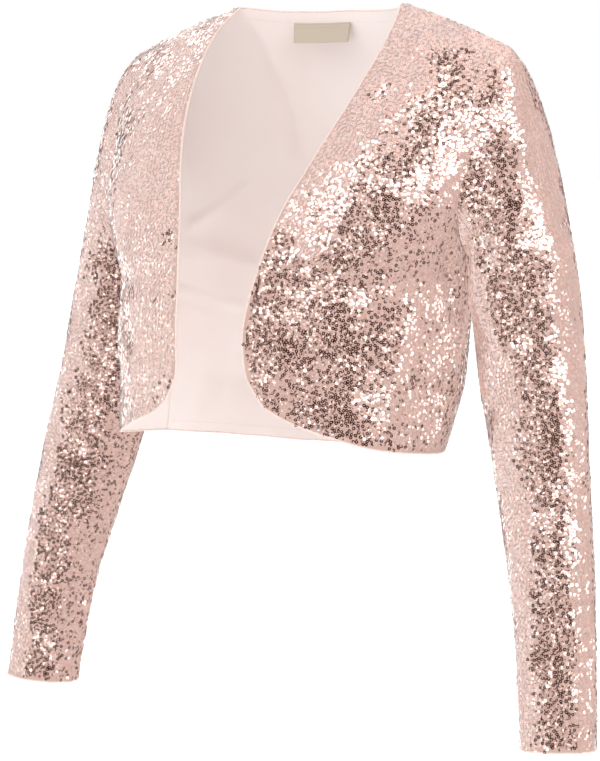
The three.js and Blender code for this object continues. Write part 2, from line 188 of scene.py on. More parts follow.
def part_of_room(tree, direction, *sides):
    """1 in a part of the room and 0 outside it. The direction is (turn, rise), and so are the sides."""
    masks = []
    for angle, (middle, reach) in zip(direction, sides):
        past = math_node(tree, "SUBTRACT", angle, math.radians(middle))
        away = math_node(tree, "ABSOLUTE", math_node(tree, "WRAP", past, math.pi, -math.pi))
        ends = {"From Min": math.radians(reach + SOFT), "From Max": math.radians(reach - SOFT)}
        step = add_node(tree, "ShaderNodeMapRange", {"Value": away, **ends}, interpolation_type="SMOOTHSTEP")
        masks.append(step.outputs["Result"])
    return math_node(tree, "MULTIPLY", *masks)


print("parts of the room:", len(ROOM_PARTS))

# %% [markdown]
# The calm wall is a soft grey that brightens towards the ceiling, with one cooler side. A fine noise makes
# it a little uneven, so that no two sequins show quite the same tone.

# %% Calm walls
WALL_STOPS = [  # from straight down to straight up
    (0.0, (0.72, 0.68, 0.67)),
    (0.5, (0.77, 0.73, 0.72)),
    (0.8, (0.84, 0.81, 0.81)),
    (1.0, (1.10, 1.08, 1.08)),
]
PALE_TONE = (0.93, 0.99, 1.03)
SPECKLE_SCALE = 22.0
SPECKLE_STOPS = [(0.3, (0.78, 0.76, 0.76)), (0.7, (1.22, 1.22, 1.22))]

world = bpy.data.worlds.new("studio")
bpy.context.scene.world = world
world.use_nodes = True
walls = world.node_tree
walls.nodes.clear()
outwards = add_node(walls, "ShaderNodeTexCoord").outputs["Generated"]
axes = add_node(walls, "ShaderNodeSeparateXYZ", {"Vector": outwards}).outputs
rise = math_node(walls, "ARCSINE", axes["Z"])
turn = math_node(walls, "ARCTAN2", axes["X"], math_node(walls, "MULTIPLY", axes["Y"], -1.0))
turn = math_node(walls, "SUBTRACT", turn, CAMERA_TURN)
height = math_node(walls, "MULTIPLY_ADD", axes["Z"], 0.5, 0.5)
pale_side = part_of_room(walls, (turn, rise), *PALE_SIDE)
wall_tone = mix_colour(walls, pale_side, colour_ramp(walls, height, WALL_STOPS), PALE_TONE)
speckle = colour_ramp(walls, patches(walls, outwards, SPECKLE_SCALE, detail=1.0), SPECKLE_STOPS)
wall_tone = mix_colour(walls, 1.0, wall_tone, speckle, blend="MULTIPLY")
print("calm walls:", len(walls.nodes), "nodes")

# %% [markdown]
# The balances of the parts add up, and the noise pulls the sum up or down as far as the place is busy. Where
# it ends far enough below 0 the wall is dark, and where it ends far enough above 0 there is a window. The
# camera sees none of this: for it the garment stands before plain white.

# %% Dark patches and windows
DARK_TONE, WINDOW_TONE = (0.036, 0.013, 0.009), (1.8, 1.8, 1.8)
WINDOW_IN_FOIL = (2.15, 2.4, 2.5)  # foil mirrors the windows whiter than they light the cloth
BUSY_PULL, BUSY_SCALE = 7.5, 5.2
LEAST, SURE = 0.4, 0.5  # balances at which a dark patch or a window begins and is whole
WALL_STRENGTH = 1.15
WHITE = (1.0, 1.0, 1.0, 1.0)

balance, busy = 0.0, 0.0
for *sides, part_balance, part_busy in ROOM_PARTS:
    share = part_of_room(walls, (turn, rise), *sides)
    balance = math_node(walls, "MULTIPLY_ADD", share, part_balance, balance)
    busy = math_node(walls, "MAXIMUM", math_node(walls, "MULTIPLY", share, part_busy), busy)
busy_noise = patches(walls, outwards, BUSY_SCALE, detail=1.0)
noise_pull = math_node(walls, "MULTIPLY_ADD", busy_noise, BUSY_PULL, -BUSY_PULL / 2)
balance = math_node(walls, "MULTIPLY_ADD", noise_pull, busy, balance)
ray = add_node(walls, "ShaderNodeLightPath").outputs
window = mix_colour(walls, ray["Is Glossy Ray"], WINDOW_TONE, WINDOW_IN_FOIL)
tint = mix_colour(walls, ramp_between(walls, balance, -LEAST, -SURE), wall_tone, DARK_TONE)
tint = mix_colour(walls, ramp_between(walls, balance, LEAST, SURE), tint, window)
room = add_node(walls, "ShaderNodeBackground", {"Color": tint, "Strength": WALL_STRENGTH}).outputs[0]
backdrop = add_node(walls, "ShaderNodeBackground", {"Color": WHITE, "Strength": 1.0}).outputs[0]
seen = add_node(walls, "ShaderNodeMixShader", {0: ray["Is Camera Ray"], 1: room, 2: backdrop}).outputs[0]
add_node(walls, "ShaderNodeOutputWorld", {"Surface": seen})
bpy.context.scene.view_settings.view_transform = "Standard"  # pale cloth keeps its true colour
print("studio walls:", len(walls.nodes), "nodes")

# %% [markdown]
# ## Lights and floor
# Two soft boxes, one high in front and one high behind, shape the cloth with soft shadows. They are left out
# of the reflections, which the walls already give. The floor is a plain white disc far below the garment, as
# far as it would be below a wearer's shoulders. A little light of its own keeps it as white as the backdrop.

# %% Lights and floor
LAMPS = {  # place and size in metres, and watts
    "high_front": ((-0.1, -1.9, 1.1), (3.4, 2.2), 11),
    "high_behind": ((0.4, 1.7, 1.1), (2.0, 1.4), 7),
}
LIT_POINT = Vector((0.0, 0.0, -0.25))  # the middle of the chest
FLOOR = {"height": -1.4, "radius": 60.0, "corners": 48}
FLOOR_COLOUR = (0.93, 0.93, 0.93, 1.0)
FLOOR_GLOW = 0.35

for name, (at, size, watts) in LAMPS.items():
    lamp_data = bpy.data.lights.new(name, "AREA")
    lamp_data.shape = "RECTANGLE"
    lamp_data.size, lamp_data.size_y = size
    lamp_data.energy = watts
    lamp = add_piece(name, lamp_data)
    lamp.location = at
    lamp.rotation_euler = (Vector(at) - LIT_POINT).to_track_quat("Z", "Y").to_euler()
    lamp.visible_glossy = lamp.visible_camera = False

round_floor = np.linspace(0.0, 2.0 * math.pi, FLOOR["corners"], endpoint=False)
rim = [(math.cos(a) * FLOOR["radius"], math.sin(a) * FLOOR["radius"], FLOOR["height"]) for a in round_floor]
floor = add_piece("floor", bpy.data.meshes.new("floor"))
floor.data.from_pydata(rim, [], [list(range(len(rim)))])
floor.data.materials.append(
    new_material(
        "white_floor",
        Base_Color=FLOOR_COLOUR,
        Roughness=0.9,
        Specular_IOR_Level=0.0,
        Emission_Color=WHITE,
        Emission_Strength=FLOOR_GLOW,
    )[0]
)
floor.visible_glossy = False
floor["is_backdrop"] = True
print("floor", FLOOR["height"], "m")

# %% [markdown]
# ## The pattern of the garment
# The same measures that the CAD model was drawn to: level sections of the bodice, the cut of the hems and
# the front edge, the neckline, the armholes, and the sections of a sleeve. Each is a short table in
# millimetres that is read along a smooth curve.

# %% Tables of the form
def columns(names, *rows):
    """A table whose columns have the given names."""
    return dict(zip(names.split(), np.array(rows, dtype=float).T))


BODICE = columns(
    "z wide front back",
    (-380, 155, -156, 32),
    (-350, 158.5, -158.5, 50),
    (-320, 161, -160, 69),
    (-270, 163, -163, 79),
    (-218, 166, -151, 83),
)
FRONT_HEM = columns(
    "angle z",
    (19, -332), (26, -343), (33, -349.5), (40, -355), (53, -363.5), (65, -368), (90, -372), (110, -373),
)
FRONT_EDGE = columns(
    "z x",
    (-332, 51), (-320, 42.5), (-308, 36.5), (-290, 34.5), (-270, 34.5), (-245, 37), (-218, 41.5),
)
SLEEVE = columns(
    "down x y wide deep turn square",
    (200, 196.5, 0, 47, 42, -8, 0),
    (250, 209.5, -4, 48.5, 42, -10, 0),
    (325, 222.5, -11, 47.5, 37, -12, 0.2),
    (400, 239, -23, 43, 32, -15, 0.5),
    (500, 259.5, -39, 35.5, 30, -12, 0.8),
    (606, 272, -53, 32, 28.5, -8, 1),
)
NECKLINE = [(41.5, -147.5, -218), (51.4, -132, -176), (68.3, -108, -130), (81.4, -82, -90), (90, -51, -50),
            (91, -24, -20)]
CENTRE_BACK = [(0, 86, -160), (0, 84, -100), (0, 70, -48)]
BACK_NECK = [(0, 48, -3), (32, 44, -3.5), (62, 28, -3)]
ARMHOLE_FRONT = [(165.5, -34, -198), (174, -53, -166), (184.5, -49, -122), (191, -37, -80), (192.5, -22, -52)]
ARMHOLE_BACK = [(165, 14, -199), (176, 31, -163), (185, 37, -118), (190.5, 28, -77), (192.5, 14, -51)]
NECK_POINT = (84, 0, 0)  # where a shoulder seam meets the neckline
SHOULDER = (193, -4, -39)  # the outer end of a shoulder seam
SHOULDER_RISE = 2.5
BACK_HEM_Z = -380
CENTRE_BACK_ANGLE, SIDE_HEM_ANGLE, UNDERARM_ANGLE = 180, 110, 103.8
UNDERARM_Z = -218
CHEST_DIP = 16
print("bodice sections:", len(BODICE["z"]), "sleeve sections:", len(SLEEVE["down"]))

# %% [markdown]
# A garment's lines have no corners, so a table is read by a cubic that passes through each row, and a seam
# is a curve through its points, read by the share of its length so that two pieces that share it always
# meet.

# %% Reading tables and seams
def hermite(a, from_a, b, to_b, t):
    t2, t3 = t**2, t**3
    return a * (2 * t3 - 3 * t2 + 1) + from_a * (t3 - 2 * t2 + t) + b * (3 * t2 - 2 * t3) + to_b * (t3 - t2)


def read(table, key, column, at):
    keys, values = table[key], table[column]
    slopes = np.diff(values) / np.diff(keys)
    inner = (values[2:] - values[:-2]) / (keys[2:] - keys[:-2])
    slopes = np.concatenate([slopes[:1], inner, slopes[-1:]])
    i = np.clip(np.searchsorted(keys, at), 1, len(keys) - 1)
    span = keys[i] - keys[i - 1]
    t = np.clip((at - keys[i - 1]) / span, 0, 1)
    return hermite(values[i - 1], slopes[i - 1] * span, values[i], slopes[i] * span, t)


def length_of(vectors):
    return np.linalg.norm(vectors, axis=-1, keepdims=True)


def unit(vectors):
    return vectors / length_of(vectors)


def curve_through(points, steps=80):
    """A smooth curve through points (centripetal Catmull-Rom), read by the share of its length."""
    p = np.array(points, dtype=float)
    p = np.vstack([2 * p[0] - p[1], p, 2 * p[-1] - p[-2]])
    gaps = np.sqrt(np.linalg.norm(np.diff(p, axis=0), axis=1))
    t = np.linspace(0, 1, steps, endpoint=False)[:, None]
    stretches = []
    for i in range(1, len(p) - 2):
        before, here, after = gaps[i - 1 : i + 2]
        a, b, c, d = p[i - 1 : i + 3]
        from_b = ((b - a) / before - (c - a) / (before + here) + (c - b) / here) * here
        to_c = ((c - b) / here - (d - b) / (here + after) + (d - c) / after) * here
        stretches.append(hermite(b, from_b, c, to_c, t))
    line = np.vstack([*stretches, p[-2:-1]])
    run = np.concatenate([[0], np.cumsum(length_of(np.diff(line, axis=0))[:, 0])])
    return lambda share: np.stack([np.interp(share, run / run[-1], line[:, k]) for k in range(3)], axis=-1)


def smoothstep(value, low=0.0, high=1.0):
    t = np.clip((value - low) / (high - low), 0, 1)
    return t * t * (3 - 2 * t)


# %% [markdown]
# ## The bodice
# Below the chest the cloth stands round the wearer in level sections. Above it each thread leaves the chest
# line, rises and leans over to the shoulder seam or the neck, and the two edges draw the threads near them.

# %% Lines of the bodice
def on_bodice(angle, z):
    """A point of the level section at z. The angle is 0 at the centre front and 180 at the centre back."""
    turn, z = np.broadcast_arrays(np.radians(angle), np.asarray(z, dtype=float))
    front, back = read(BODICE, "z", "front", z), read(BODICE, "z", "back", z)
    x = read(BODICE, "z", "wide", z) * np.sin(turn)
    return np.stack([x, front + (back - front) * (1 - np.cos(turn)) / 2, z], axis=-1)


def edge_angle(z):
    return np.degrees(np.arcsin(read(FRONT_EDGE, "z", "x", z) / read(BODICE, "z", "wide", z)))


def chest_z(u):
    return UNDERARM_Z - CHEST_DIP * (1 - u**3)


underarm = on_bodice(UNDERARM_ANGLE, UNDERARM_Z)
edge_at_chest = edge_angle(chest_z(0))
armhole_front = curve_through([underarm, *ARMHOLE_FRONT, SHOULDER])
armhole_back = curve_through([underarm, *ARMHOLE_BACK, SHOULDER])
neckline = curve_through([on_bodice(edge_at_chest, chest_z(0)), *NECKLINE, NECK_POINT])
centre_back = curve_through([on_bodice(CENTRE_BACK_ANGLE, chest_z(0)), *CENTRE_BACK, BACK_NECK[0]])
back_neck = curve_through([*BACK_NECK, NECK_POINT])


def shoulder_seam(share):
    share = np.asarray(share, dtype=float)[..., None]
    arch = np.array([0, 0, SHOULDER_RISE]) * np.sin(np.pi * share)
    return np.array(NECK_POINT) * (1 - share) + np.array(SHOULDER) * share + arch


# %% [markdown]
# Each panel becomes a grid of points, with a row for each level from the hem to the shoulder and a column
# for each thread. A grid can be folded, thickened and laid out flat later on. Pairs of pieces are cut as
# mirror images, so the right side is the left one mirrored.

# %% Panels of the bodice as grids of points
LOWER_ROWS = 40  # from the hem to the chest line
UPPER_ROWS = 48  # from there to the shoulder
FRONT_COLUMNS = 48
NECK_COLUMNS = 20
BACK_HALF = NECK_COLUMNS + FRONT_COLUMNS
NECK_SHARE = 5 / 17  # of half the back's width, at its top, is the neck
NECK_BLEND = 0.4  # from the centre to this share, the neck's lean turns into the shoulder's
JUST_BELOW, CHEST_PULL = 8, 0.95  # a thread leaves the chest line as it ran just below, with this pull
# The way and the pull with which threads arrive at the top of the front, and of the back at its two parts.
FRONT_LEAN = np.array([0, 0.5, 0.1])
AT_SHOULDER = np.array([0, -0.9, 0.2])
AT_NECK = np.array([0, -0.13, 0.26])


def upper_panel(u, start_angle, top, lean, centre, armhole):
    """The rows above the chest line, drawn to the centre's line at u = 0 and to the armhole at u = 1."""
    v = np.linspace(0, 1, UPPER_ROWS + 1)

    def thread(s):
        angle = start_angle + (UNDERARM_ANGLE - start_angle) * s
        low = on_bodice(angle, chest_z(s))
        below = on_bodice(angle, chest_z(s) - JUST_BELOW)
        reach = length_of(top(s) - low)
        return hermite(low, unit(low - below) * CHEST_PULL * reach, top(s), lean(s) * reach, v[:, None, None])

    to_centre = (centre(v)[:, None] - thread(np.zeros(1))) * (1 - smoothstep(u))[:, None]
    to_armhole = (armhole(v)[:, None] - thread(np.ones(1))) * u[:, None]
    return thread(u) + to_centre + to_armhole


def front_panel():
    u = np.linspace(0, 1, FRONT_COLUMNS + 1)
    t = np.linspace(0, 1, LOWER_ROWS + 1)[:-1, None]
    corner_angle, corner_z = FRONT_HEM["angle"][0], FRONT_HEM["z"][0]
    hem_angle = corner_angle + (SIDE_HEM_ANGLE - corner_angle) * u
    top_angle = edge_at_chest + (UNDERARM_ANGLE - edge_at_chest) * u
    along_edge = edge_angle(corner_z + (chest_z(0) - corner_z) * t)
    edge_bend = along_edge - (corner_angle + (edge_at_chest - corner_angle) * t)
    angle = hem_angle * (1 - t) + top_angle * t + (1 - u) * edge_bend
    hem_z = read(FRONT_HEM, "angle", "z", hem_angle)
    lower = on_bodice(angle, hem_z * (1 - t) + chest_z(u) * t)
    upper = upper_panel(u, edge_at_chest, shoulder_seam, lambda s: FRONT_LEAN, neckline, armhole_front)
    return np.concatenate([lower, upper])


def back_top(s):
    at_neck = back_neck(np.clip(s / NECK_SHARE, 0, 1))
    at_shoulder = shoulder_seam(np.clip((s - NECK_SHARE) / (1 - NECK_SHARE), 0, 1))
    return np.where((s <= NECK_SHARE)[:, None], at_neck, at_shoulder)


def back_lean(s):
    return AT_NECK + (AT_SHOULDER - AT_NECK) * smoothstep(s, 0, NECK_BLEND)[:, None]


def back_half_panel():
    neck = np.linspace(0, NECK_SHARE, NECK_COLUMNS + 1)[:-1]
    u = np.concatenate([neck, np.linspace(NECK_SHARE, 1, FRONT_COLUMNS + 1)])
    t = np.linspace(0, 1, LOWER_ROWS + 1)[:-1, None]
    hem_angle = CENTRE_BACK_ANGLE + (SIDE_HEM_ANGLE - CENTRE_BACK_ANGLE) * u
    top_angle = CENTRE_BACK_ANGLE + (UNDERARM_ANGLE - CENTRE_BACK_ANGLE) * u
    hem_z = BACK_HEM_Z + (FRONT_HEM["z"][-1] - BACK_HEM_Z) * u**2
    lower = on_bodice(hem_angle * (1 - t) + top_angle * t, hem_z * (1 - t) + chest_z(u) * t)
    upper = upper_panel(u, CENTRE_BACK_ANGLE, back_top, back_lean, centre_back, armhole_back)
    return np.concatenate([lower, upper])


def mirrored(grid):
    return (grid * (-1, 1, 1))[:, ::-1]


half = back_half_panel()
grids = {
    "back": np.concatenate([half[:, ::-1], (half * (-1, 1, 1))[:, 1:]], axis=1),
    "front_left": front_panel(),
}
grids["front_right"] = mirrored(grids["front_left"])
print("back grid", grids["back"].shape, "front grid", grids["front_left"].shape)

# %% [markdown]
# ## The sleeves
# A sleeve is a tube of rings down the arm. Its cap leaves the armhole seam outwards and curls over into the
# first ring. The columns go round from the underarm by the back, as many as the armhole has rows, so that
# the sleeve and the bodice share each point of the seam.

# %% Sleeves
CAP_ROWS = 32
ARM_ROWS = 100
SLEEVE_COLUMNS = 2 * UPPER_ROWS
# The way and the pull with which the cap leaves the armhole seam at its lowest and highest points.
UNDERARM_START, UNDERARM_REACH = np.array([1, 0, -0.2]), 0.9
SHOULDER_START, SHOULDER_REACH = np.array([0.85, 0, -0.53]), 0.36
CAP_PULL = 0.9  # how strongly the cap's end follows the arm
ARM_STEP = 5  # the arm's direction is taken over this length to each side


def arm_direction(down):
    def centre(at):
        return np.stack([read(SLEEVE, "down", "x", at), read(SLEEVE, "down", "y", at), -at], axis=-1)

    return unit(centre(down + ARM_STEP) - centre(down - ARM_STEP))


def arm_rings(down, angle):
    """Points of the rings at each distance down the arm (rows) and each angle round it (columns)."""
    row = {name: read(SLEEVE, "down", name, down)[:, None] for name in SLEEVE}
    x, y = row["wide"] * np.cos(angle), row["deep"] * np.sin(angle)
    turn = np.radians(row["turn"])
    x, y = x * np.cos(turn) - y * np.sin(turn), x * np.sin(turn) + y * np.cos(turn)
    arm = arm_direction(down)[:, None]
    z = -(x * arm[..., 0] + y * arm[..., 1]) / arm[..., 2] * row["square"]
    return np.stack([x + row["x"], y + row["y"], z - row["down"]], axis=-1)


def sleeve_tube():
    share = 2 - np.arange(SLEEVE_COLUMNS) / UPPER_ROWS  # 0 and 2 at the underarm, 1 at the shoulder
    angle = (share - 1) * np.pi
    first, last = SLEEVE["down"][[1, -1]]
    front, back = armhole_front(np.minimum(share, 1)), armhole_back(np.minimum(2 - share, 1))
    seam = np.where((share <= 1)[:, None], front, back)
    ring = arm_rings(np.array([first]), angle)[0]
    reach = length_of(ring - seam)
    high = (seam[:, 2:] - UNDERARM_Z) / (SHOULDER[2] - UNDERARM_Z)
    strength = (UNDERARM_REACH + (SHOULDER_REACH - UNDERARM_REACH) * high) * reach
    out = unit(UNDERARM_START + (SHOULDER_START - UNDERARM_START) * high) * strength
    t = np.linspace(0, 1, CAP_ROWS + 1)[:, None, None]
    cap = hermite(seam, out, ring, arm_direction(np.array([first]))[0] * CAP_PULL * reach, t)
    arm = arm_rings(np.linspace(first, last, ARM_ROWS + 1)[1:], angle)
    return np.concatenate([cap, arm])


grids["sleeve_left"] = sleeve_tube()
grids["sleeve_right"] = mirrored(grids["sleeve_left"])
TUBES = ("sleeve_left", "sleeve_right")
print("sleeve grid", grids["sleeve_left"].shape)

# %% [markdown]
# ## Where the cloth faces
# The outward direction at a grid point is the cross product of the steps across and up it. Along a seam the
# two pieces share one direction, and at an armhole it is mitred, so that both walls keep their thickness.

# %% Facing directions and seams
MOST_MITRE = 2.4


def facings(grid, tube):
    if tube:
        across = np.roll(grid, -1, axis=1) - np.roll(grid, 1, axis=1)
    else:
        across = np.gradient(grid, axis=1)
    return unit(np.cross(across, np.gradient(grid, axis=0)))


def seam_pairs():
    """Index pairs of the grid points that two pieces share: side and shoulder seams first, then armholes."""
    rows = np.arange(LOWER_ROWS, LOWER_ROWS + UPPER_ROWS + 1)
    low, top = np.arange(LOWER_ROWS + 1), LOWER_ROWS + UPPER_ROWS
    step = np.arange(UPPER_ROWS + 1)
    across = np.arange(FRONT_COLUMNS + 1)
    last_back, last_sleeve = 2 * BACK_HALF, SLEEVE_COLUMNS - 1
    flat = [
        ("front_left", (low, FRONT_COLUMNS), "back", (low, 0)),
        ("front_right", (low, 0), "back", (low, last_back)),
        ("front_left", (top, across), "back", (top, FRONT_COLUMNS - across)),
        ("front_right", (top, FRONT_COLUMNS - across), "back", (top, last_back - FRONT_COLUMNS + across)),
    ]
    before = (-step) % SLEEVE_COLUMNS
    mitred = [
        ("front_left", (rows, FRONT_COLUMNS), "sleeve_left", (0, before)),
        ("back", (rows, 0), "sleeve_left", (0, step)),
        ("front_right", (rows, 0), "sleeve_right", (0, last_sleeve - before)),
        ("back", (rows, last_back), "sleeve_right", (0, last_sleeve - step)),
    ]
    return flat, mitred


def all_facings():
    ways = {name: facings(grid, name in TUBES) for name, grid in grids.items()}
    flat, mitred = seam_pairs()
    for name, place, other, other_place in flat:
        shared = unit(ways[name][place] + ways[other][other_place])
        ways[name][place] = ways[other][other_place] = shared
    for name, place, other, other_place in mitred:
        shared = unit(ways[name][place] + ways[other][other_place])
        along = (shared * ways[name][place]).sum(axis=-1, keepdims=True)
        ways[name][place] = ways[other][other_place] = shared * np.minimum(1 / along, MOST_MITRE)
    return ways


def widest_seam():
    """The widest gap between two pieces along their seam, in millimetres."""
    gaps = [np.abs(grids[a][i] - grids[b][j]).max() for seams in seam_pairs() for a, i, b, j in seams]
    return round(float(max(gaps)), 4)


print("widest seam before folding:", widest_seam(), "mm")

# %% [markdown]
# ## Folds
# Cloth on a body is never smooth. Each fold is a soft trough (depth below 0) or ridge along a line: pulls
# that run from the armhole to the chest and down the back, hanging flutes above the hem, and the rings that
# an arm's bend presses into a sleeve. Under them lies a faint unevenness, as wide as a fingertip, which makes
# neighbouring sequins turn together. Folds die out where they meet an armhole seam.

# %% Fold tables
FOLDS = {  # the two ends of each fold's line, then its width and depth
    "bodice": [
        ((150, -60, -235), (105, -140, -285), 16, -3.0),
        ((-150, -60, -232), (-112, -134, -276), 15, -2.6),
        ((140, 50, -225), (70, 78, -280), 16, -3.0),
        ((-140, 48, -230), (-60, 78, -262), 16, -2.6),
        ((72, -146, -365), (84, -142, -290), 12, -2.0),
        ((122, -108, -372), (130, -100, -310), 13, 2.2),
        ((-88, -136, -365), (-95, -134, -300), 13, 2.0),
        ((-130, -98, -372), (-134, -96, -320), 12, -1.8),
        ((60, 32, -377), (52, 56, -315), 16, -2.2),
        ((-46, 34, -377), (-50, 56, -310), 17, 2.0),
        ((118, 8, -377), (124, 30, -305), 15, -2.2),
        ((-112, 12, -377), (-116, 32, -315), 15, -2.0),
        ((158, -72, -196), (128, -122, -226), 9, -1.6),
        ((168, -58, -206), (160, -40, -262), 7, -4.2),
        ((-166, -58, -210), (-160, -40, -268), 7, -3.8),
        ((-158, -72, -200), (-132, -118, -222), 9, -1.4),
        ((120, -128, -250), (70, -152, -236), 10, 1.2),
        ((-124, -126, -262), (-80, -148, -238), 10, 1.1),
        ((52, -155, -340), (60, -152, -272), 8, 1.3),
        ((-60, -152, -342), (-56, -154, -280), 8, -1.1),
        ((100, -132, -362), (104, -134, -318), 8, -1.2),
        ((146, -72, -370), (150, -62, -322), 9, -1.3),
        ((-148, -70, -370), (-150, -64, -330), 9, 1.2),
        ((156, 24, -214), (112, 62, -238), 9, -1.4),
        ((-156, 24, -216), (-108, 64, -232), 9, -1.3),
        ((20, 84, -150), (34, 78, -86), 12, -1.1),
        ((-26, 84, -160), (-44, 74, -92), 12, -1.0),
        ((16, 34, -377), (12, 58, -318), 10, 1.3),
        ((92, 22, -377), (94, 46, -322), 10, 1.4),
        ((-80, 26, -377), (-84, 50, -316), 10, -1.3),
        ((-140, 0, -377), (-142, 18, -326), 10, 1.2),
    ],
    "sleeve": [
        ((196, -45, -205), (232, -46, -268), 12, -2.6),
        ((-198, -46, -210), (-236, -44, -262), 12, -2.4),
        ((190, -36, -345), (238, -56, -318), 11, -2.2),
        ((-190, -35, -342), (-236, -56, -322), 11, -1.9),
        ((206, 4, -372), (240, 18, -350), 12, -2.2),
        ((-206, 4, -368), (-241, 18, -352), 12, -2.0),
        ((226, -62, -452), (262, -66, -470), 12, -1.6),
        ((-228, -60, -478), (-262, -66, -456), 12, -1.6),
        ((178, -30, -262), (206, -48, -300), 9, -1.4),
        ((-178, -30, -266), (-204, -48, -292), 9, -1.4),
        ((208, -52, -392), (250, -60, -408), 9, -1.4),
        ((-206, -50, -402), (-246, -62, -388), 9, -1.5),
        ((214, 0, -420), (256, 6, -436), 10, -1.4),
        ((-214, 0, -432), (-252, 8, -416), 10, -1.4),
        ((240, -66, -508), (284, -58, -524), 9, -1.1),
        ((-240, -66, -528), (-280, -60, -512), 9, -1.1),
        ((232, -20, -540), (270, -14, -552), 9, -1.0),
        ((-232, -22, -556), (-272, -16, -544), 9, -1.0),
        ((196, 36, -210), (226, 34, -250), 11, -1.8),
        ((-196, 36, -216), (-228, 32, -244), 11, -1.7),
        ((252, -70, -575), (262, -76, -606), 8, 0.9),
        ((-250, -70, -578), (-258, -74, -606), 8, 0.9),
    ],
}
FOLD_FADE = 22  # a fold is whole this far from an armhole
UNEVEN = {"deep": 0.55, "wide": 26}  # of the faint unevenness, in mm
FINER = {"deep": 0.5, "close": 2.1}  # a second one, half as deep and about twice as close
UNEVEN_WHOLE = 0.5  # the unevenness is whole where a fold has reached this share of its depth
CUFF_FLUTES = {"deep": 0.8, "reach": 14, "count": 9}  # a turned hem waves a little
print("folds:", {on: len(rows) for on, rows in FOLDS.items()})

# %% [markdown]
# The folds are laid into the grids by moving each point along its outward direction. The points of a seam
# belong to two pieces and move alike in both, so no seam opens.

# %% Folding the cloth
BLOCKS = 40  # the points are compared with the armholes in so many blocks, which saves memory
armhole_points = np.concatenate([grids[name][0] for name in TUBES])


def fold_depth(points, folds):
    """How far folds of (start, end, width, depth) move each point outwards, in millimetres."""
    depth = np.zeros(points.shape[:-1])
    for start, end, width, deep in folds:
        start, line = np.array(start, dtype=float), np.subtract(end, start)
        share = np.clip(((points - start) @ line) / (line @ line), 0, 1)
        away = np.linalg.norm(points - start - share[..., None] * line, axis=-1)
        depth += deep * np.exp(-((away / width) ** 2))
    return depth


def unevenness(points):
    flat = points.reshape(-1, 3) / UNEVEN["wide"]
    waves = np.array([noise.noise(point) for point in flat])
    waves += FINER["deep"] * np.array([noise.noise(FINER["close"] * Vector(point)) for point in flat])
    return UNEVEN["deep"] * waves.reshape(points.shape[:-1])


def away_from_armhole(points):
    """0 at an armhole seam, rising to 1 where a fold is whole."""
    blocks = np.array_split(points.reshape(-1, 3), BLOCKS)
    nearest = [np.linalg.norm(block[:, None] - armhole_points, axis=-1).min(axis=1) for block in blocks]
    return smoothstep(np.concatenate(nearest), 0, FOLD_FADE).reshape(points.shape[:-1])


def cuff_flutes(grid):
    angle = np.linspace(0, 2 * np.pi, grid.shape[1], endpoint=False)
    run = SLEEVE["down"][-1] + grid[..., 2]
    flutes = np.sin(CUFF_FLUTES["count"] * angle + np.sin(2 * angle))
    return CUFF_FLUTES["deep"] * flutes * smoothstep(CUFF_FLUTES["reach"] - run, 0, CUFF_FLUTES["reach"])


def fold_all():
    ways = all_facings()
    for name, grid in grids.items():
        whole = away_from_armhole(grid)
        depth = fold_depth(grid, FOLDS["sleeve" if name in TUBES else "bodice"]) * whole
        depth += unevenness(grid) * smoothstep(whole, 0, UNEVEN_WHOLE)
        if name in TUBES:
            depth += cuff_flutes(grid)
        grids[name] = grid + ways[name] * depth[..., None]


smooth_back = grids["back"].copy()
fold_all()
print("widest seam after folding:", widest_seam(), "mm")

# %% [markdown]
# ## Materials: net and thread
# The ground of the cloth is a fine net in pale pink. Its threads cross a little closer than every
# millimetre, which a checked bump along the cloth's own flat measures gives at any bend.

# %% The net ground
THREAD_PITCH = 0.0008
BAND_WIDTH = 0.314  # of a wave texture's bands at a scale of 1
WEAVE_DEPTH = 0.0003  # in metres, as all that a bump raises
NET_LIGHT, NET_DEEP = (0.70, 0.49, 0.43), (0.58, 0.385, 0.33)
NET_PATCH_SCALE = 60.0
THREADS_LIGHTER = 0.3  # how much of a patch's tone shows on the threads


def flat_measures(tree):
    """The place on a piece as it would be laid out flat, in metres."""
    return add_node(tree, "ShaderNodeUVMap", uv_map="flat").outputs["UV"]


def thread_bands(tree, vector, pitch, direction):
    inputs = {"Vector": vector, "Scale": BAND_WIDTH / pitch}
    wave = add_node(tree, "ShaderNodeTexWave", inputs, wave_type="BANDS", bands_direction=direction)
    return wave.outputs["Fac"]


def add_bump(tree, shader, height, strength, distance):
    bump = add_node(tree, "ShaderNodeBump", {"Height": height, "Strength": strength, "Distance": distance})
    tree.links.new(bump.outputs["Normal"], shader.inputs["Normal"])


def woven_bump(tree, shader, vector, pitch, strength):
    weave = math_node(tree, "MAXIMUM", *(thread_bands(tree, vector, pitch, axis) for axis in "XY"))
    add_bump(tree, shader, weave, strength, WEAVE_DEPTH)
    return weave


net, net_tree, net_shader = new_material("pink_net", Roughness=0.75, Sheen_Weight=0.25)
net_flat = flat_measures(net_tree)
net_weave = woven_bump(net_tree, net_shader, net_flat, THREAD_PITCH, strength=0.5)
net_patches = patches(net_tree, net_flat, NET_PATCH_SCALE, detail=3.0)
net_colour = colour_ramp(net_tree, net_patches, [(0.3, NET_DEEP), (0.7, NET_LIGHT)])
on_thread = math_node(net_tree, "MULTIPLY", net_weave, THREADS_LIGHTER)
net_colour = mix_colour(net_tree, on_thread, NET_DEEP, net_colour)
net_tree.links.new(net_colour, net_shader.inputs["Base Color"])
print("net thread pitch", THREAD_PITCH * 1000, "mm")

# %% [markdown]
# Sewing thread is the same pink, with a little more gloss. Its twist shows as fine changes of tone, which are
# also raised a little.

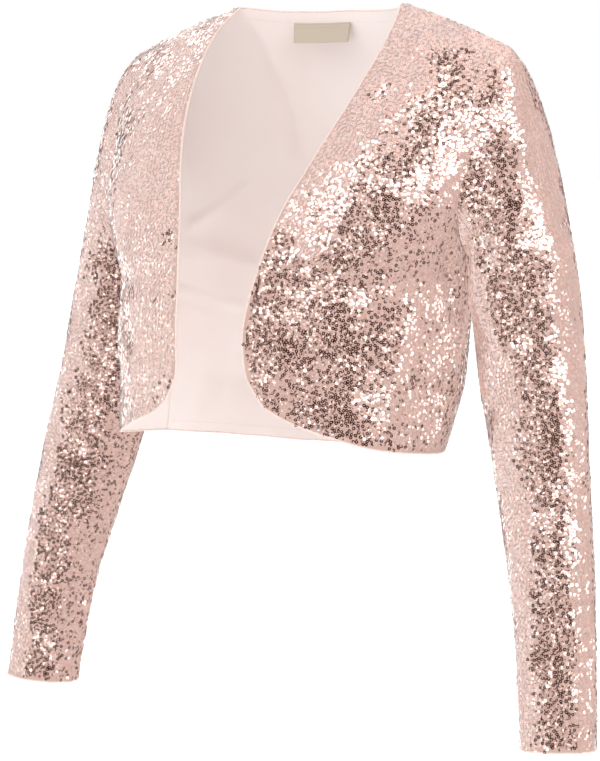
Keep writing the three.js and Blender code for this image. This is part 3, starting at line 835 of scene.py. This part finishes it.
# %% Thread
TWIST_SCALE, TWIST_DEPTH = 900.0, 0.0002
THREAD_DEEP, THREAD_LIGHT = (0.74, 0.55, 0.48), (0.92, 0.76, 0.69)

thread, thread_tree, thread_shader = new_material("pink_thread", Roughness=0.5, Sheen_Weight=0.3)
twist = patches(thread_tree, own_place(thread_tree), TWIST_SCALE, detail=2.0)
thread_colour = colour_ramp(thread_tree, twist, [(0.3, THREAD_DEEP), (0.7, THREAD_LIGHT)])
thread_tree.links.new(thread_colour, thread_shader.inputs["Base Color"])
add_bump(thread_tree, thread_shader, twist, strength=0.5, distance=TWIST_DEPTH)
print("thread from", THREAD_DEEP, "to", THREAD_LIGHT)

# %% [markdown]
# ## Material: sequins
# A sequin is a disc of foil with a clear lacquer. Its colour comes from the metal, so it is a metal whose
# base is rose gold. Tone and polish change a little from disc to disc, by a number between 0 and 1 that
# each disc carries, and the thin foil is never quite flat.

# %% Sequin foil
SEQUIN_DEEP, SEQUIN_PALE = (0.89, 0.62, 0.54), (0.95, 0.73, 0.66)
DULLEST, CLEAREST = 0.10, 0.05  # roughness
DENT_SCALE, DENT_DEPTH = 700.0, 0.0002

foil, foil_tree, foil_shader = new_material(
    "rose_gold_foil", Metallic=1.0, Coat_Weight=0.08, Coat_Roughness=0.06
)
tone = add_node(foil_tree, "ShaderNodeAttribute", attribute_name="tone").outputs["Fac"]
foil_colour = colour_ramp(foil_tree, tone, [(0.0, SEQUIN_DEEP), (1.0, SEQUIN_PALE)])
foil_tree.links.new(foil_colour, foil_shader.inputs["Base Color"])
polish = add_node(foil_tree, "ShaderNodeMapRange", {"Value": tone, "To Min": DULLEST, "To Max": CLEAREST})
foil_tree.links.new(polish.outputs["Result"], foil_shader.inputs["Roughness"])
dents = patches(foil_tree, own_place(foil_tree), DENT_SCALE, detail=1.0)
add_bump(foil_tree, foil_shader, dents, strength=0.15, distance=DENT_DEPTH)
print("foil from", SEQUIN_DEEP, "to", SEQUIN_PALE)

# %% [markdown]
# ## Material: satin
# The lining is a light satin. Its threads float over each other, so it is smooth with a soft wide gloss, and
# a very fine rib runs across it.

# %% Satin
SATIN_PITCH, RIB_DEPTH = 0.0005, 0.0001
SATIN_LIGHT, SATIN_DEEP = (0.955, 0.88, 0.85), (0.93, 0.835, 0.80)
SHIFT_SCALE = 9.0  # of its slow shifts in tone

satin, satin_tree, satin_shader = new_material(
    "pale_satin", Roughness=0.36, Sheen_Weight=0.2, Anisotropic=0.4
)
satin_flat = flat_measures(satin_tree)
shift = patches(satin_tree, satin_flat, SHIFT_SCALE, detail=2.0)
satin_colour = colour_ramp(satin_tree, shift, [(0.35, SATIN_DEEP), (0.65, SATIN_LIGHT)])
satin_tree.links.new(satin_colour, satin_shader.inputs["Base Color"])
satin_rib = thread_bands(satin_tree, satin_flat, SATIN_PITCH, "DIAGONAL")
add_bump(satin_tree, satin_shader, satin_rib, strength=0.12, distance=RIB_DEPTH)
print("satin rib", SATIN_PITCH * 1000, "mm")

# %% [markdown]
# ## Cloth as a closed wall
# A cut piece is a wall with an outer face, an inner face and a rim. Building it from two grids keeps it
# closed and gives it a flat map: the distances along its rows and columns, as if it lay on a table.

# %% Walls from grids
RIM_ANGLE = math.radians(50)  # a sharper edge, such as the rim's, isn't shaded as a curve


def flat_map(grid, tube):
    """Distances across and up a grid, in metres, with one more column where a tube closes."""
    if tube:
        grid = np.concatenate([grid, grid[:, :1]], axis=1)
    across = np.cumsum(length_of(np.diff(grid, axis=1))[..., 0], axis=1)
    across = np.concatenate([np.zeros((len(grid), 1)), across], axis=1)
    across -= across[:, across.shape[1] // 2, None]
    up = np.cumsum(length_of(np.diff(grid, axis=0))[..., 0], axis=0)
    up = np.concatenate([np.zeros((1, grid.shape[1])), up])
    return np.stack([across, up], axis=-1) * MM


def cells(rows, width, tube):
    """The corners of each cell of a grid: its own row and column numbers, and its points' numbers."""
    row, column = np.meshgrid(np.arange(rows - 1), np.arange(width if tube else width - 1), indexing="ij")
    row, column = row.ravel(), column.ravel()
    corner_rows = np.stack([row, row, row + 1, row + 1], axis=1)
    corner_columns = np.stack([column, column + 1, column + 1, column], axis=1)
    return corner_rows, corner_columns, corner_rows * width + corner_columns % width


def edge_loop(rows, width, tube):
    """The row and column numbers round the rim of a grid, one closed loop for a panel and two for a tube."""
    if tube:
        around = np.arange(width + 1)
        return [(np.zeros(width + 1, int), around), (np.full(width + 1, rows - 1), around[::-1])]
    right = [(0, c) for c in range(width - 1)]
    up = [(r, width - 1) for r in range(rows - 1)]
    left = [(rows - 1, c) for c in range(width - 1, 0, -1)]
    down = [(r, 0) for r in range(rows - 1, 0, -1)]
    loop = right + up + left + down
    return [tuple(np.array(loop + loop[:1]).T)]


def wall_mesh(name, outer, inner, tube, materials):
    """A closed wall. The outer face and the rim take the first material, and the inner face the second."""
    rows, width = outer.shape[:2]
    corner_rows, corner_columns, outside = cells(rows, width, tube)
    inside = outside[:, ::-1] + rows * width
    faces = [outside, inside]
    places = [(corner_rows, corner_columns), (corner_rows[:, ::-1], corner_columns[:, ::-1])]
    for loop in edge_loop(rows, width, tube):
        rim_rows, rim_columns = (np.stack([run[1:], run[:-1], run[:-1], run[1:]], axis=1) for run in loop)
        points = rim_rows * width + rim_columns % width
        points[:, 2:] += rows * width
        faces.append(points)
        places.append((rim_rows, rim_columns))
    mesh = bpy.data.meshes.new(name)
    corners = np.concatenate([outer.reshape(-1, 3), inner.reshape(-1, 3)]) * MM
    mesh.from_pydata(corners.tolist(), [], np.concatenate(faces).tolist())
    laid_out = flat_map(outer, tube)
    uv = np.concatenate([laid_out[r, c].reshape(-1, 2) for r, c in places])
    mesh.uv_layers.new(name="flat").data.foreach_set("uv", uv.ravel())
    for material in materials:
        mesh.materials.append(material)
    shares = [len(outside), len(outside), len(mesh.polygons) - 2 * len(outside)]
    mesh.polygons.foreach_set("material_index", np.repeat([0, 1, 0], shares))
    mesh.polygons.foreach_set("use_smooth", np.ones(len(mesh.polygons), bool))
    mesh.update()
    mesh.set_sharp_from_angle(angle=RIM_ANGLE)
    return mesh


def add_wall(name, middle, ways, half, materials, tube=False):
    """Adds a piece whose wall reaches half its thickness to either side of a grid."""
    piece = add_piece(name, wall_mesh(name, middle + ways * half, middle - ways * half, tube, materials))
    print(name, len(piece.data.polygons), "faces")
    return piece


# %% [markdown]
# The outside of each piece is net and its inside satin, with the folded grid midway between the two. The
# wall is about as thick as net and satin are together.

# %% The five pieces of sequin cloth
NET_HALF = 0.35  # half the thickness of the net with its facing
ways = all_facings()
cloth = {
    name: add_wall(f"cloth_{name}", grid, ways[name], NET_HALF, [net, satin], name in TUBES)
    for name, grid in grids.items()
}

# %% [markdown]
# ## Pieces that Geometry Nodes make
# Sequins repeat by the thousand, and rolled edges and stitches follow a path, so Geometry Nodes make them
# all. Each tree has named inputs for its sizes. It ends by turning its copies into real mesh and giving
# them their
# material.

# %% Helpers for trees that make geometry
def new_tree(name, sizes, *others):
    """A Geometry Nodes tree with named inputs: the sizes, then others as (name, socket kind, value)."""
    tree = bpy.data.node_groups.new(name, "GeometryNodeTree")
    tree.is_modifier = True
    tree.interface.new_socket("Geometry", in_out="INPUT", socket_type="NodeSocketGeometry")
    for key, kind, value in [*((key, "Float", value) for key, value in sizes.items()), *others]:
        socket = tree.interface.new_socket(key, in_out="INPUT", socket_type=f"NodeSocket{kind}")
        if value is not None:
            socket.default_value = value
    tree.interface.new_socket("Geometry", in_out="OUTPUT", socket_type="NodeSocketGeometry")
    return tree, add_node(tree, "NodeGroupInput").outputs


def shaded_smooth(tree, mesh):
    return add_node(tree, "GeometryNodeSetShadeSmooth", {"Geometry": mesh, "Shade Smooth": True}).outputs[0]


def copies(tree, points, instance, rotation, scale):
    inputs = {"Points": points, "Instance": instance, "Rotation": rotation, "Scale": scale}
    return add_node(tree, "GeometryNodeInstanceOnPoints", inputs).outputs[0]


def finish_tree(tree, geometry, material):
    real = add_node(tree, "GeometryNodeRealizeInstances", {"Geometry": geometry})
    painted = add_node(tree, "GeometryNodeSetMaterial", {"Geometry": real.outputs[0], "Material": material})
    add_node(tree, "NodeGroupOutput", {"Geometry": painted.outputs[0]})
    print(f"{tree.name} tree:", len(tree.nodes), "nodes")


# %% [markdown]
# ## Sequins
# Tens of thousands of discs are spread over the cloth. Points are laid over the outer face with a least
# distance between them, and each gets a six-sided ring that lies on the cloth, tilted a little. Most of the
# tilt comes from a noise that changes slowly, so that neighbours lean together and the glints gather in
# drifts. The rest is each sequin's own. An edge of bare net is left at the hems.

# %% Where the sequins go and how they tilt
SEQUIN = {  # sizes in metres, then how strongly it leans by itself and with its neighbours
    "Across": 0.0031,
    "Hole": 0.0012,
    "Cup": 0.00002,
    "Spacing": 0.0024,
    "Lift": 0.00035,
    "Lean": 0.115,
    "Drift": 0.96,
}
SEQUIN_SIDES = 6
FIRST_SEED = 11  # the five pieces take this and the next four
SEQUIN_TRIES = 1400000.0  # points tried on each square metre before those too close are dropped
DRIFT_NOISE = {"Scale": 30.0, "Detail": 2.0, "Roughness": 0.65}
DRIFT_STRETCH = (1.0, 1.0, 0.6)  # drifts are longer down the body
SIZE_SPREAD = {2: 0.93, 3: 1.05}  # least and most, which are a Random Value node's inputs 2 and 3
SEEDS = {"lean": 3, "size": 5, "tone": 7}


def vector_math(tree, operation, *values):
    return add_node(tree, "ShaderNodeVectorMath", dict(enumerate(values)), operation=operation).outputs[0]


def scaled(tree, vector, scale):
    return add_node(tree, "ShaderNodeVectorMath", {0: vector, "Scale": scale}, operation="SCALE").outputs[0]


sequin_tree, given = new_tree("sequins", SEQUIN, ("Seed", "Int", 1), ("Foil", "Material", None))
named = add_node(sequin_tree, "GeometryNodeInputNamedAttribute", {"Name": "cover"}, data_type="FLOAT")
spread = add_node(
    sequin_tree,
    "GeometryNodeDistributePointsOnFaces",
    {
        "Mesh": given["Geometry"],
        "Distance Min": given["Spacing"],
        "Density Max": SEQUIN_TRIES,
        "Density Factor": math_node(sequin_tree, "GREATER_THAN", named.outputs[0], 0.5),
        "Seed": given["Seed"],
    },
    distribute_method="POISSON",
).outputs
where = add_node(sequin_tree, "GeometryNodeInputPosition").outputs[0]
where = vector_math(sequin_tree, "MULTIPLY", where, DRIFT_STRETCH)
slow = add_node(sequin_tree, "ShaderNodeTexNoise", {"Vector": where, **DRIFT_NOISE}).outputs["Color"]
drift = scaled(sequin_tree, vector_math(sequin_tree, "SUBTRACT", slow, (0.5, 0.5, 0.5)), given["Drift"])
ends = {0: (-1.0, -1.0, 0.0), 1: (1.0, 1.0, 0.0), "Seed": SEEDS["lean"]}
own = add_node(sequin_tree, "FunctionNodeRandomValue", ends, data_type="FLOAT_VECTOR").outputs[0]
tilt = vector_math(sequin_tree, "ADD", drift, scaled(sequin_tree, own, given["Lean"]))
tilt = vector_math(sequin_tree, "MULTIPLY", tilt, (1.0, 1.0, 0.0))
tilt = add_node(sequin_tree, "FunctionNodeEulerToRotation", {"Euler": tilt}).outputs[0]
turns = {"Rotation": spread["Rotation"], "Rotate By": tilt}
tilted = add_node(sequin_tree, "FunctionNodeRotateRotation", turns, rotation_space="LOCAL").outputs[0]
print("sequins", SEQUIN["Across"] * 1000, "mm across, at least", SEQUIN["Spacing"] * 1000, "mm apart")

# %% [markdown]
# A ring is a very flat cone without its tip, so the hole is where the tip would be. Each copy gets its own
# size and, as a number stored on it, its own tone.

# %% The sequins themselves
def random_number(tree, ends, seed):
    return add_node(tree, "FunctionNodeRandomValue", {**ends, "Seed": seed}, data_type="FLOAT").outputs[1]


cone = {
    "Vertices": SEQUIN_SIDES,
    "Radius Top": math_node(sequin_tree, "MULTIPLY", given["Hole"], 0.5),
    "Radius Bottom": math_node(sequin_tree, "MULTIPLY", given["Across"], 0.5),
    "Depth": given["Cup"],
}
ring = add_node(sequin_tree, "GeometryNodeMeshCone", cone, fill_type="NONE").outputs["Mesh"]
size = random_number(sequin_tree, SIZE_SPREAD, SEEDS["size"])
placed = copies(sequin_tree, spread["Points"], shaded_smooth(sequin_tree, ring), tilted, size)
lift = add_node(sequin_tree, "ShaderNodeCombineXYZ", {"Z": given["Lift"]}).outputs[0]
lifted = add_node(sequin_tree, "GeometryNodeTranslateInstances", {"Instances": placed, "Translation": lift})
own_tone = random_number(sequin_tree, {2: 0.0, 3: 1.0}, SEEDS["tone"])
toned = add_node(
    sequin_tree,
    "GeometryNodeStoreNamedAttribute",
    {"Geometry": lifted.outputs[0], "Name": "tone", "Value": own_tone},
    data_type="FLOAT",
    domain="INSTANCE",
)
finish_tree(sequin_tree, toned.outputs[0], given["Foil"])

# %% [markdown]
# A tree runs as a modifier on a host mesh. Its result is taken as a plain mesh and the host is dropped. The
# host of the sequins is the outer face of the cloth, with a number at each point that says where they are
# sewn.

# %% Making a piece with a tree
def made_by(tree, name, host_mesh, **values):
    """Runs a tree on a mesh and returns its result as a plain piece."""
    host = add_piece(f"{name}_host", host_mesh)
    modifier = host.modifiers.new(name, "NODES")
    modifier.node_group = tree
    for item in tree.interface.items_tree:
        if item.in_out == "INPUT" and item.name in values:
            modifier[item.identifier] = values[item.name]
    graph = bpy.context.evaluated_depsgraph_get()
    result = host.evaluated_get(graph)
    mesh = bpy.data.meshes.new_from_object(result, preserve_all_data_layers=True, depsgraph=graph)
    mesh.name = name
    bpy.data.objects.remove(host)
    print(name, len(mesh.polygons), "faces")
    return add_piece(name, mesh)


def face_mesh(name, points, tube, cover):
    """One open face of a wall, with a number at each point that says how far sequins cover it."""
    rows, width = points.shape[:2]
    mesh = bpy.data.meshes.new(name)
    mesh.from_pydata((points.reshape(-1, 3) * MM).tolist(), [], cells(rows, width, tube)[2].tolist())
    mesh.attributes.new("cover", "FLOAT", "POINT").data.foreach_set("value", cover.ravel())
    return mesh


def cover_of(name):
    """1 where sequins are sewn, and 0 along the free edges."""
    cover = np.ones(grids[name].shape[:2])
    if name in TUBES:
        cover[-1] = 0
    else:
        cover[0] = 0
    if name == "front_left":
        cover[:, 0] = 0
    if name == "front_right":
        cover[:, -1] = 0
    if name == "back":
        cover[-1, FRONT_COLUMNS : FRONT_COLUMNS + 2 * NECK_COLUMNS + 1] = 0
    return cover


sequins = {}
for seed, (name, grid) in enumerate(grids.items(), start=FIRST_SEED):
    ground = face_mesh(f"ground_{name}", grid + ways[name] * NET_HALF, name in TUBES, cover_of(name))
    sequins[name] = made_by(sequin_tree, f"sequins_{name}", ground, Seed=seed, Foil=foil)
print("sequins:", sum(len(piece.data.polygons) for piece in sequins.values()) // SEQUIN_SIDES)

# %% [markdown]
# ## The satin lining of the back
# The lining hangs just inside the back and is cut a little smaller. It is looser than the net, so its
# creases are its own: long soft ones that run down from the neck and across from the armholes. Most stand
# inwards. The few that fall back towards the net stop before they touch it.

# %% The lining
LINING_AWAY = 1.0  # from the middle of the net to the middle of the satin
LINING_CLOSEST = 0.75  # it never comes nearer than this
LINING_HALF = 0.3
LINING_INSET = 0.4  # how far it stops short of the edges
LINING_FOLDS = [  # as above, with the inward ones above 0
    ((-160, 30, -194), (-128, 66, -160), 5, 3.8),
    ((-163, 36, -186), (-132, 66, -149), 7, -0.9),
    ((-158, -2, -250), (-118, 43, -266), 5, 3.8),
    ((-160, 0, -226), (-112, 48, -250), 8, -1.1),
    ((-153, 0, -266), (-134, 26, -275), 4, 2.6),
    ((-84, 46, -40), (-106, 76, -128), 8, 1.9),
    ((-64, 62, -46), (-77, 81, -124), 8, 1.5),
    ((-30, 62, -46), (-24, 85, -150), 9, 1.3),
    ((30, 60, -45), (40, 84, -150), 10, 1.5),
    ((88, 50, -60), (96, 70, -150), 11, 1.2),
    ((152, 36, -180), (112, 68, -150), 6, 2.4),
    ((156, 10, -242), (104, 58, -262), 6, 2.5),
    ((150, 20, -222), (106, 60, -244), 8, -1.0),
    ((-40, 80, -300), (-30, 50, -360), 12, 1.7),
    ((44, 78, -300), (50, 48, -362), 12, 1.8),
    ((-118, 40, -300), (-122, 8, -366), 9, 1.6),
    ((104, 60, -300), (110, 28, -362), 11, 1.6),
]


def drawn_in(grid):
    """Pulls the outermost points of a panel in from its edges."""
    grid = grid.copy()
    for edge, beside in ((0, 1), (-1, -2)):
        grid[edge] += unit(grid[beside] - grid[edge]) * LINING_INSET
        grid[:, edge] += unit(grid[:, beside] - grid[:, edge]) * LINING_INSET
    return grid


lining_grid = drawn_in(grids["back"])
lining_away = np.maximum(LINING_AWAY + fold_depth(lining_grid, LINING_FOLDS), LINING_CLOSEST)
lining_grid = lining_grid - ways["back"] * lining_away[..., None]
lining_ways = facings(lining_grid, False)
lining = add_wall("lining_satin", lining_grid, lining_ways, LINING_HALF, [satin, satin])

# %% [markdown]
# ## The rolled edge
# The net's free edges are rolled and sewn down, so a thin plain cord of net runs down one front edge, round
# the hem, up the other and along the back of the neck, and another round each cuff. A path of points taken
# from the cloth's own edge becomes a tube with Geometry Nodes.

# %% The rolled edge
ROLL = {"Thickness": 0.0017, "Step": 0.003}  # in metres
ROLL_SIDES = 6


def even_path(tree, host, step):
    """The host's path as a curve with points a step apart."""
    inputs = {"Curve": add_node(tree, "GeometryNodeMeshToCurve", {"Mesh": host}).outputs[0], "Length": step}
    return add_node(tree, "GeometryNodeResampleCurve", inputs, mode="LENGTH").outputs[0]


def path_mesh(name, *paths, closed=False):
    """Paths of points, in millimetres, as a mesh of edges. A closed one returns to its first point."""
    mesh = bpy.data.meshes.new(name)
    starts = np.cumsum([0] + [len(path) for path in paths])
    edges = [(start + i, start + i + 1) for start, path in zip(starts, paths) for i in range(len(path) - 1)]
    if closed:
        edges.append((len(paths[0]) - 1, 0))
    mesh.from_pydata((np.concatenate(paths) * MM).tolist(), edges, [])
    return mesh


roll_tree, given = new_tree("rolled_edge", ROLL, ("Thread", "Material", None))
radius = math_node(roll_tree, "MULTIPLY", given["Thickness"], 0.5)
circle = {"Resolution": ROLL_SIDES, "Radius": radius}
circle = add_node(roll_tree, "GeometryNodeCurvePrimitiveCircle", circle).outputs[0]
cord = {"Curve": even_path(roll_tree, given["Geometry"], given["Step"]), "Profile Curve": circle}
cord = add_node(roll_tree, "GeometryNodeCurveToMesh", cord).outputs[0]
finish_tree(roll_tree, shaded_smooth(roll_tree, cord), given["Thread"])

# %% [markdown]
# Every path closes on itself. The body's starts at the neck and runs down the left front edge.

# %% Rolling the edges
body_edge = np.concatenate([
    grids["front_left"][::-1, 0],
    grids["front_left"][0, 1:],
    grids["back"][0, 1:],
    grids["front_right"][0, 1:],
    grids["front_right"][1:, -1],
    grids["back"][-1, FRONT_COLUMNS + 2 * NECK_COLUMNS - 1 : FRONT_COLUMNS : -1],
])
rolls = {}
for name, edge in [("body", body_edge), *((name, grids[name][-1]) for name in TUBES)]:
    edge_path = path_mesh(f"edge_{name}", edge, closed=True)
    rolls[name] = made_by(roll_tree, f"rolled_edge_{name}", edge_path, Thread=thread)

# %% [markdown]
# ## The label
# A bare piece of woven tape is sewn to the lining along its top, to the wearer's right of the centre. It
# hangs straight while the back slopes away behind it, so its lower edge stands clear and casts a small
# shadow.

# %% Woven tape
TAPE_PITCH = 0.0007
LABEL_CREAM, LABEL_EDGE = (0.61, 0.53, 0.425), (0.50, 0.42, 0.31)
SELVEDGE = 0.0255, 0.0265  # from the middle of the tape, where its woven edges begin

tape, tape_tree, tape_shader = new_material("cream_tape", Roughness=0.7, Sheen_Weight=0.2)
tape_flat = flat_measures(tape_tree)
tape_weave = woven_bump(tape_tree, tape_shader, tape_flat, TAPE_PITCH, strength=0.6)
tape_across = add_node(tape_tree, "ShaderNodeSeparateXYZ", {"Vector": tape_flat}).outputs["X"]
selvedge = ramp_between(tape_tree, math_node(tape_tree, "ABSOLUTE", tape_across), *SELVEDGE)
tape_colour = colour_ramp(tape_tree, tape_weave, [(0.0, LABEL_EDGE), (0.7, LABEL_CREAM)])
tape_colour = mix_colour(tape_tree, selvedge, tape_colour, LABEL_EDGE)
tape_tree.links.new(tape_colour, tape_shader.inputs["Base Color"])
print("tape thread pitch", TAPE_PITCH * 1000, "mm")

# %% [markdown]
# The tape's top follows the satin at its place beside the centre. From there it drops at one lean all along,
# and its lower middle bows a little inwards.

# %% The label
# In millimetres, and the lean in degrees.
LABEL = {"wide": 56, "tall": 17.7, "below": 10.6, "aside": 30, "lean": 16, "bow": 1}
LABEL_COLUMNS, LABEL_ROWS = 28, 10
LABEL_AWAY = 0.35
LABEL_HALF = 0.3
TOP_ROWS = 8  # the rows at the back's neck over which its row pitch is measured


def between(grid, row, column):
    """Reads a grid between its points."""
    r, c = np.floor(row).astype(int), np.floor(column).astype(int)
    s, t = (row - r)[..., None], (column - c)[..., None]
    low = grid[r, c] * (1 - t) + grid[r, c + 1] * t
    high = grid[r + 1, c] * (1 - t) + grid[r + 1, c + 1] * t
    return low * (1 - s) + high * s


neck_edge = smooth_back[-1, BACK_HALF]
column_pitch = float(length_of(neck_edge - smooth_back[-1, BACK_HALF + 1])[0])
row_pitch = float(length_of(neck_edge - smooth_back[-1 - TOP_ROWS, BACK_HALF])[0]) / TOP_ROWS
label_across = np.linspace(-0.5, 0.5, LABEL_COLUMNS + 1) * LABEL["wide"]
top_row = np.full(label_across.shape, LOWER_ROWS + UPPER_ROWS - LABEL["below"] / row_pitch)
sewn_at = (top_row, BACK_HALF + (label_across + LABEL["aside"]) / column_pitch)
off_satin = unit(between(lining_ways, *sewn_at))
level_out = unit(off_satin * (1, 1, 0))
label_lean = math.radians(LABEL["lean"])
down = -math.sin(label_lean) * level_out + (0, 0, -math.cos(label_lean))
label_out = math.cos(label_lean) * level_out - (0, 0, math.sin(label_lean))
drop = np.linspace(1, 0, LABEL_ROWS + 1)[:, None, None]
bow = LABEL["bow"] * drop * np.cos(label_across / LABEL["wide"] * np.pi)[:, None]
label_top = between(lining_grid - lining_ways * LINING_HALF, *sewn_at) - off_satin * LABEL_AWAY
label_middle = label_top + down * drop * LABEL["tall"] - label_out * (LABEL_HALF + bow)
label = add_wall("label_woven", label_middle, label_out, LABEL_HALF, [tape, tape])

# %% [markdown]
# ## Stitches
# A seam shows as a row of short raised stitches. They repeat along a path, so Geometry Nodes make them: a
# small bead of thread every few millimetres, turned along the path. One row holds the lining above the hem,
# one follows the neck, and a finer one holds the top of the label.

# %% Stitches
STITCH = {"Pitch": 0.0028, "Length": 0.0019, "Thickness": 0.0004}  # in metres
FINE_STITCH = {"Pitch": 0.0021, "Length": 0.0014, "Thickness": 0.0003}
BEAD = {"Segments": 6, "Rings": 4, "Radius": 0.5}
STITCH_ROW = 2  # rows of the grid from the edge
PROUD_OF_SATIN, PROUD_OF_TAPE = 0.1, 0.05  # in millimetres

stitch_tree, given = new_tree("stitches", STITCH, ("Thread", "Material", None))
along = add_node(stitch_tree, "GeometryNodeInputTangent").outputs[0]
along = add_node(stitch_tree, "FunctionNodeAlignRotationToVector", {"Vector": along}, axis="Z").outputs[0]
bead = add_node(stitch_tree, "GeometryNodeMeshUVSphere", BEAD).outputs["Mesh"]
oval = {"X": given["Thickness"], "Y": given["Thickness"], "Z": given["Length"]}
oval = add_node(stitch_tree, "ShaderNodeCombineXYZ", oval).outputs[0]
stitch_path = even_path(stitch_tree, given["Geometry"], given["Pitch"])
finish_tree(stitch_tree, copies(stitch_tree, stitch_path, bead, along, oval), given["Thread"])

on_satin = lining_grid - lining_ways * (LINING_HALF + PROUD_OF_SATIN)
neck_row = on_satin[LOWER_ROWS + UPPER_ROWS - STITCH_ROW]
lining_paths = path_mesh(
    "lining_paths",
    on_satin[STITCH_ROW, STITCH_ROW:-STITCH_ROW],
    neck_row[FRONT_COLUMNS : FRONT_COLUMNS + 2 * NECK_COLUMNS + 1],
)
on_tape = label_middle - label_out * (LABEL_HALF + PROUD_OF_TAPE)
label_path = path_mesh("label_path", on_tape[-STITCH_ROW, 1:-1])
lining_stitches = made_by(stitch_tree, "stitches_lining", lining_paths, Thread=thread)
label_stitches = made_by(stitch_tree, "stitches_label", label_path, Thread=thread, **FINE_STITCH)

# %% [markdown]
# ## Placing the pieces
# Each cloth stands for its CAD solid, which is hidden, and rides on the garment's one body.


def declare(piece, node):
    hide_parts(node)
    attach(piece, "root")


for piece in [*cloth.values(), *sequins.values()]:
    piece.visible_glossy = False  # sequins show the room and not one another, which keeps the armpits light
for piece in [*sequins.values(), *rolls.values()]:
    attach(piece, "root")
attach(lining_stitches, "root")
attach(label_stitches, "root")
for name, piece in cloth.items():
    declare(piece, name)
declare(lining, "lining_back")
declare(label, "label")

# %% [markdown]
# ## Finish
# The triangles of all shown pieces are counted.

# %% Finish
triangles = [sum(len(face.vertices) - 2 for face in piece.data.polygons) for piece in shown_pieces()]
print("triangles:", sum(triangles), "most in one piece:", max(triangles))
